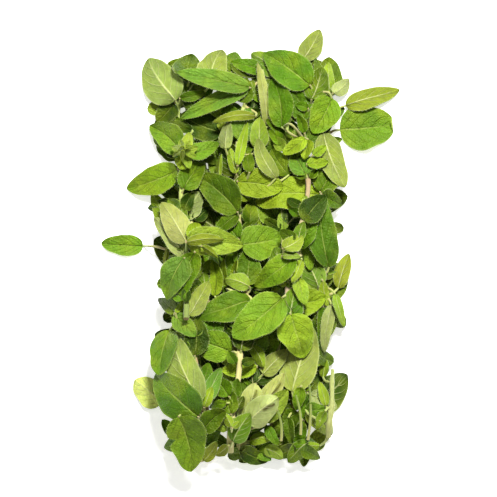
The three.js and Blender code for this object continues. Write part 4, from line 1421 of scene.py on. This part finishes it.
# The short sprig low in the middle
# Pale leaves of middle size, most of them underside up and three of them bruised. Stripped stalks and a row
# of very small leaves lie beside its foot.
LOW_STEM = [(-5, -85), (-2, -74.5), (0.5, -63), (2, -51.5), (4.5, -37.5)]
LOW_RADII = (1.3, 0.7)
LOW_LEAVES = [
    (0.5, -83, 7.5, -83, 2.5, "under", "pale"),
    (-1, -82.5, 8.5, -82.5, 5, "under", "lime"),
    # Painted shade: the next leaf takes the darkest tone because it lies in shadow.
    (-5, -86.5, 7, -90, 6.5, "upper", "shade"),
    (6, -77, 11, -85.5, 4, "upper", "mid"),
    (-2, -76, 13.5, -56, 8.5, "under", "chalk bruised"),
    (-2.5, -76.5, 1.5, -60.5, 10, "under", "chalk bruised"),
    (4.5, -76, 15, -63, 7.5, "upper", "young"),
    (-2, -77, 11, -67, 10, "under", "chalk bruised"),
    (4.5, -56.5, 15, -46, 7.5, "under", "sage"),
    (2, -53.5, -12.5, -54.5, 7, "upper", "lime"),
    (0, -44, 4.5, -54, 5, "under", "lime"),
]
LOW_ROW = [(x, -88) for x in range(-6, 25, 5)]
LOW_STALKS = [
    (-9, -84, -8, -66), (-5.5, -86, -6.5, -71), (12, -84, 10.5, -72), (20, -82, 18, -66),
    (23, -84, 23.5, -62),
]
grow_shown(
    "sprig_low", 2, LOW_STEM, LOW_RADII, LOW_LEAVES,
    [(0, "#C8BE7C"), (1, "#AFBE58")], crowd=LOW_ROW, stripped=LOW_STALKS,
)


# The sprig at the upper left
# Its large pale leaf reaches out at the top left corner of the bunch.
UPPER_LEFT_STEM = [
    (-15.5, -43.5), (-20.5, -14.5), (-26, 12), (-30, 38), (-31, 56.5), (-29.5, 66),
]
UPPER_LEFT_RADII = (1.25, 0.65)
UPPER_LEFT_LEAVES = [
    (-34.5, 5.5, -42.5, 24, 7.5, "under", "lime"),
    (-29.5, 10.5, -22, 22.5, 9, "under", "pale"),
    # Painted shade: the next three leaves take the darkest tone because they lie in shadow.
    (-25, 49.5, -37, 52, 5, "upper", "shade"),
    (-32.5, 61, -39.5, 53.5, 9, "upper", "shade"),
    (-29, 62, -19, 59.5, 6, "upper", "shade"),
    (-32, 61.5, -44.5, 81.5, 15, "under", "sage"),
    (-26.5, 70, -26, 84, 12, "upper", "bottle"),
    (-17.5, 68, -13, 85, 12, "under", "sage"),
    (-30, 62, -19, 66, 4, "upper", "dark"),
]
grow_shown(
    "sprig_upper_left", 3, UPPER_LEFT_STEM, UPPER_LEFT_RADII, UPPER_LEFT_LEAVES,
    [(0, "#BFB070"), (1, "#A3B552")],
)


# The long sprig up the middle
# Many small young leaves at mid height, and its pale brown stem shows between them.
CENTRE_STEM = [
    (-9, -87.5), (-8.5, -78), (-5, -51), (-5, -41.5), (-2.5, -23.5), (-4.5, -2),
    (-5.5, 11.5), (-6.5, 24.5), (-6, 41.5), (-4.5, 54.5), (0, 68),
]
CENTRE_RADII = (1.3, 0.7)
CENTRE_LEAVES = [
    (-10, -86.5, -15, -89, 4, "under", "olive"),
    (-8.5, -80, -11.5, -74, 3.5, "under", "lime"),
    (-8, -80.5, -5, -77.5, 2.5, "under", "lime"),
    (-10.5, -70, -17.5, -70.5, 3.5, "upper", "mid"),
    (-9.5, -67, -15, -58.5, 6.5, "upper", "mid"),
    (-8.5, -47, -24.5, -41.5, 12, "upper", "bright"),
    (-0.5, -25, -22.5, -32, 12.5, "upper", "dark"),
    (-8, -15, -6, -8.5, 2.5, "upper", "lime"),
    (-11, -18.5, -11.5, -7, 3, "upper", "lime"),
    (-15.5, -23, -16, -7, 5.5, "upper", "lime"),
    (-1, -19.5, -11, -15.5, 7, "under", "young"),
    (-4.5, -2, 12.5, 2.5, 14.5, "upper", "bright"),
    (-6, 11.5, -16, 4, 6.5, "upper", "dark"),
    (-1, 8, 0, 18, 6.5, "upper", "bottle"),
    (-6, 18, -11.5, 17, 3.5, "under", "lime"),
    (-6, 25.5, 13, 22.5, 11.5, "upper", "lime"),
    (-13.5, 28.5, -12.5, 38, 2.5, "under", "lime"),
    (-6, 12.5, -24.5, 29.5, 12.5, "upper", "dark"),
    (2.5, 41, 2.5, 54, 7.5, "under", "young"),
    (-1, 29, -3.5, 43, 5, "upper", "dark"),
    (-6.5, 29, -10, 41, 4, "under", "lime"),
    (-6, 32, -2, 51.5, 4, "under", "lime"),
    (-11, 39.5, -10, 52, 5.5, "under", "pale"),
    (15.5, 29, 8, 42, 7.5, "upper", "dark"),
    (10, 27, 2, 44.5, 7, "under", "sage"),
    (1.5, 54, -16.5, 51, 4.5, "under", "olive"),
    (4.5, 76, -9, 78, 6.5, "upper", "mid"),
    (6.5, 51.5, 2, 79, 4.5, "under", "pale"),
    (-1.5, 66.5, -29.5, 53.5, 7.5, "upper", "dull"),
    (-1, 66.5, -31.5, 72, 9, "upper", "dull"),
]
grow_shown(
    "sprig_centre", 4, CENTRE_STEM, CENTRE_RADII, CENTRE_LEAVES,
    [(0, "#D2CC84"), (0.5, "#B7A86A"), (1, "#A8B85A")],
)


# The sprig along the left side
# A tuft of bud leaves at its tip, a large leaf with a notched margin at its foot, and a tan stem with its
# brown cut end there.
BUD_COUNT = 10
LEFT_STEM = [
    (-21.5, -90.5), (-19, -73), (-23, -54), (-26, -37.5), (-27, -23), (-28.5, -7),
    (-29.5, 19), (-28.5, 37.5),
]
LEFT_RADII = (1.3, 0.7)
LEFT_LEAVES = [
    (-23, -81, -36, -86, 9, "upper", "deep"),
    (-20, -81, -11, -73, 8, "upper", "dark"),
    (-20, -91.5, -14.5, -84.5, 4.5, "under", "olive"),
    # Painted light: this leaf hangs away from the lamp, and its pale tone is made brighter to make up for the
    # shade it lies in.
    (-37.5, -66.5, -49, -56.5, 11.5, "under", "straw"),
    (-20, -70, -13, -54, 6.5, "under", "dull"),
    (-19.5, -72, -16.5, -63.5, 4, "under", "lime"),
    (-22, -73.5, -27, -62.5, 2.5, "under", "lime"),
    (-21.5, -70.5, -34, -39, 12.5, "under", "sage"),
    (-22, -76, -40, -56.5, 14.5, "upper", "deep"),
    (-30, -76, -24.5, -96.5, 15, "upper", "bright notched"),
    (-32, -31, -39, -22.5, 5, "upper", "dark"),
    (-34, -37.5, -38, -58, 10.5, "upper", "mid"),
    (-32, -32, -23, -41.5, 7.5, "upper", "dull"),
    (-26, -33, -18, -17, 7.5, "under", "sage"),
    (-31.5, -31.5, -27, -24.5, 2.5, "under", "lime"),
    (-45.5, 1, -63, 2, 8.5, "upper", "bright"),
    (-31, 31, -52.5, 25.5, 12, "upper", "fresh"),
    (-29.5, 37, -28.5, 30, 6.5, "upper", "lime"),
    (-29.5, 39, -43, 52.5, 10, "upper", "bright"),
    (-27.5, 37.5, -13.5, 42.5, 7.5, "upper", "bright"),
    (-28.5, 37.5, -26, 47.5, 5, "under", "young"),
]
grow_shown(
    "sprig_left", 5, LEFT_STEM, LEFT_RADII, LEFT_LEAVES,
    [(0, "#C9B274"), (0.2, "#9A7A58"), (0.5, "#B5AC62"), (1, "#9FB34E")], bud=BUD_COUNT,
)


# The short shoot at the left of the middle
# It lies over the left sprig at mid height, with a pair of matt leaves pointing down.
LEFT_MIDDLE_STEM = [
    (-27, -35), (-27, -20.5), (-27, -8), (-27.5, -1.5),
]
LEFT_MIDDLE_RADII = (1.2, 0.8)
LEFT_MIDDLE_LEAVES = [
    (-36.5, -8, -35, -1.5, 2, "under", "olive"),
    (-27.5, -7.5, -40.5, 11.5, 7.5, "under", "pale"),
    (-27, -2.5, -37.5, 18.5, 10, "under", "pale"),
    (-25, -1.5, -22, 7.5, 6, "upper", "lime"),
    (-27, -2.5, -3.5, -3, 11, "upper", "young"),
    (-27, -3.5, -11.5, -1.5, 4, "under", "olive"),
    (-20.5, -5, -14, -9, 2.5, "under", "lime"),
    (-23.5, -7, -29.5, -25, 10, "upper", "mid"),
    (-28, -9.5, -35.5, -25.5, 11.5, "upper", "dull"),
]
grow_shown(
    "sprig_left_middle", 6, LEFT_MIDDLE_STEM, LEFT_MIDDLE_RADII, LEFT_MIDDLE_LEAVES,
    [(0, "#75853A"), (1, "#8CA845")], cover=False,
)


# The sprig on top, right of the middle
# The last one laid, with the largest bright leaf at its tip and a brown and white stem between its leaves.
RIGHT_MIDDLE_STEM = [
    (15, -44), (15, -22.5), (19.5, 0), (23.5, 25), (22.5, 34), (22.5, 46),
    (24.5, 59), (25, 66),
]
RIGHT_MIDDLE_RADII = (1.3, 0.7)
RIGHT_MIDDLE_LEAVES = [
    (16, -33, 22, -49.5, 14.5, "upper", "lime"),
    (19, -17.5, 22, -28.5, 6, "upper", "lime"),
    (20.5, -10, 16.5, -20.5, 4, "under", "lime"),
    (12.5, -26, -7.5, -42.5, 16, "upper", "bright"),
    (17.5, -9.5, 1.5, -19.5, 11, "upper", "fresh"),
    (12.5, -9, 20, -10, 3.5, "under", "young"),
    (13, -6, 21, 0, 7.5, "under", "young"),
    (30, 47.5, 39, 23.5, 11, "under", "sage"),
    (23, 33, 32, 34.5, 5, "upper", "lime"),
    (25.5, 36.5, 31, 41.5, 4, "upper", "lime"),
    (23.5, 44, 22, 35, 5.5, "upper", "lime"),
    (22.5, 44, 13, 38, 6.5, "upper", "lime"),
    (33.5, 62.5, 25.5, 47, 12, "upper", "fresh"),
    (12.5, 51, 6, 54, 4, "upper", "mid"),
    (22, 47, 19, 55, 4, "upper", "mid"),
    (12.5, 50.5, 9, 72.5, 10, "upper", "deep"),
    (23.5, 57.5, 18.5, 59.5, 4, "upper", "mid"),
    (24.5, 67.5, 5, 84, 14.5, "upper", "deep"),
]
grow_shown(
    "sprig_right_middle", 7, RIGHT_MIDDLE_STEM, RIGHT_MIDDLE_RADII, RIGHT_MIDDLE_LEAVES,
    [(0, "#C2A88C"), (0.5, "#A8996C"), (0.8, "#A07A5C"), (1, "#AFC05A")],
)


# The blanks go
for blank, *_ in [*blanks.values(), stem_blank, stalk_blank]:
    bpy.data.objects.remove(blank)
bpy.context.view_layer.update()
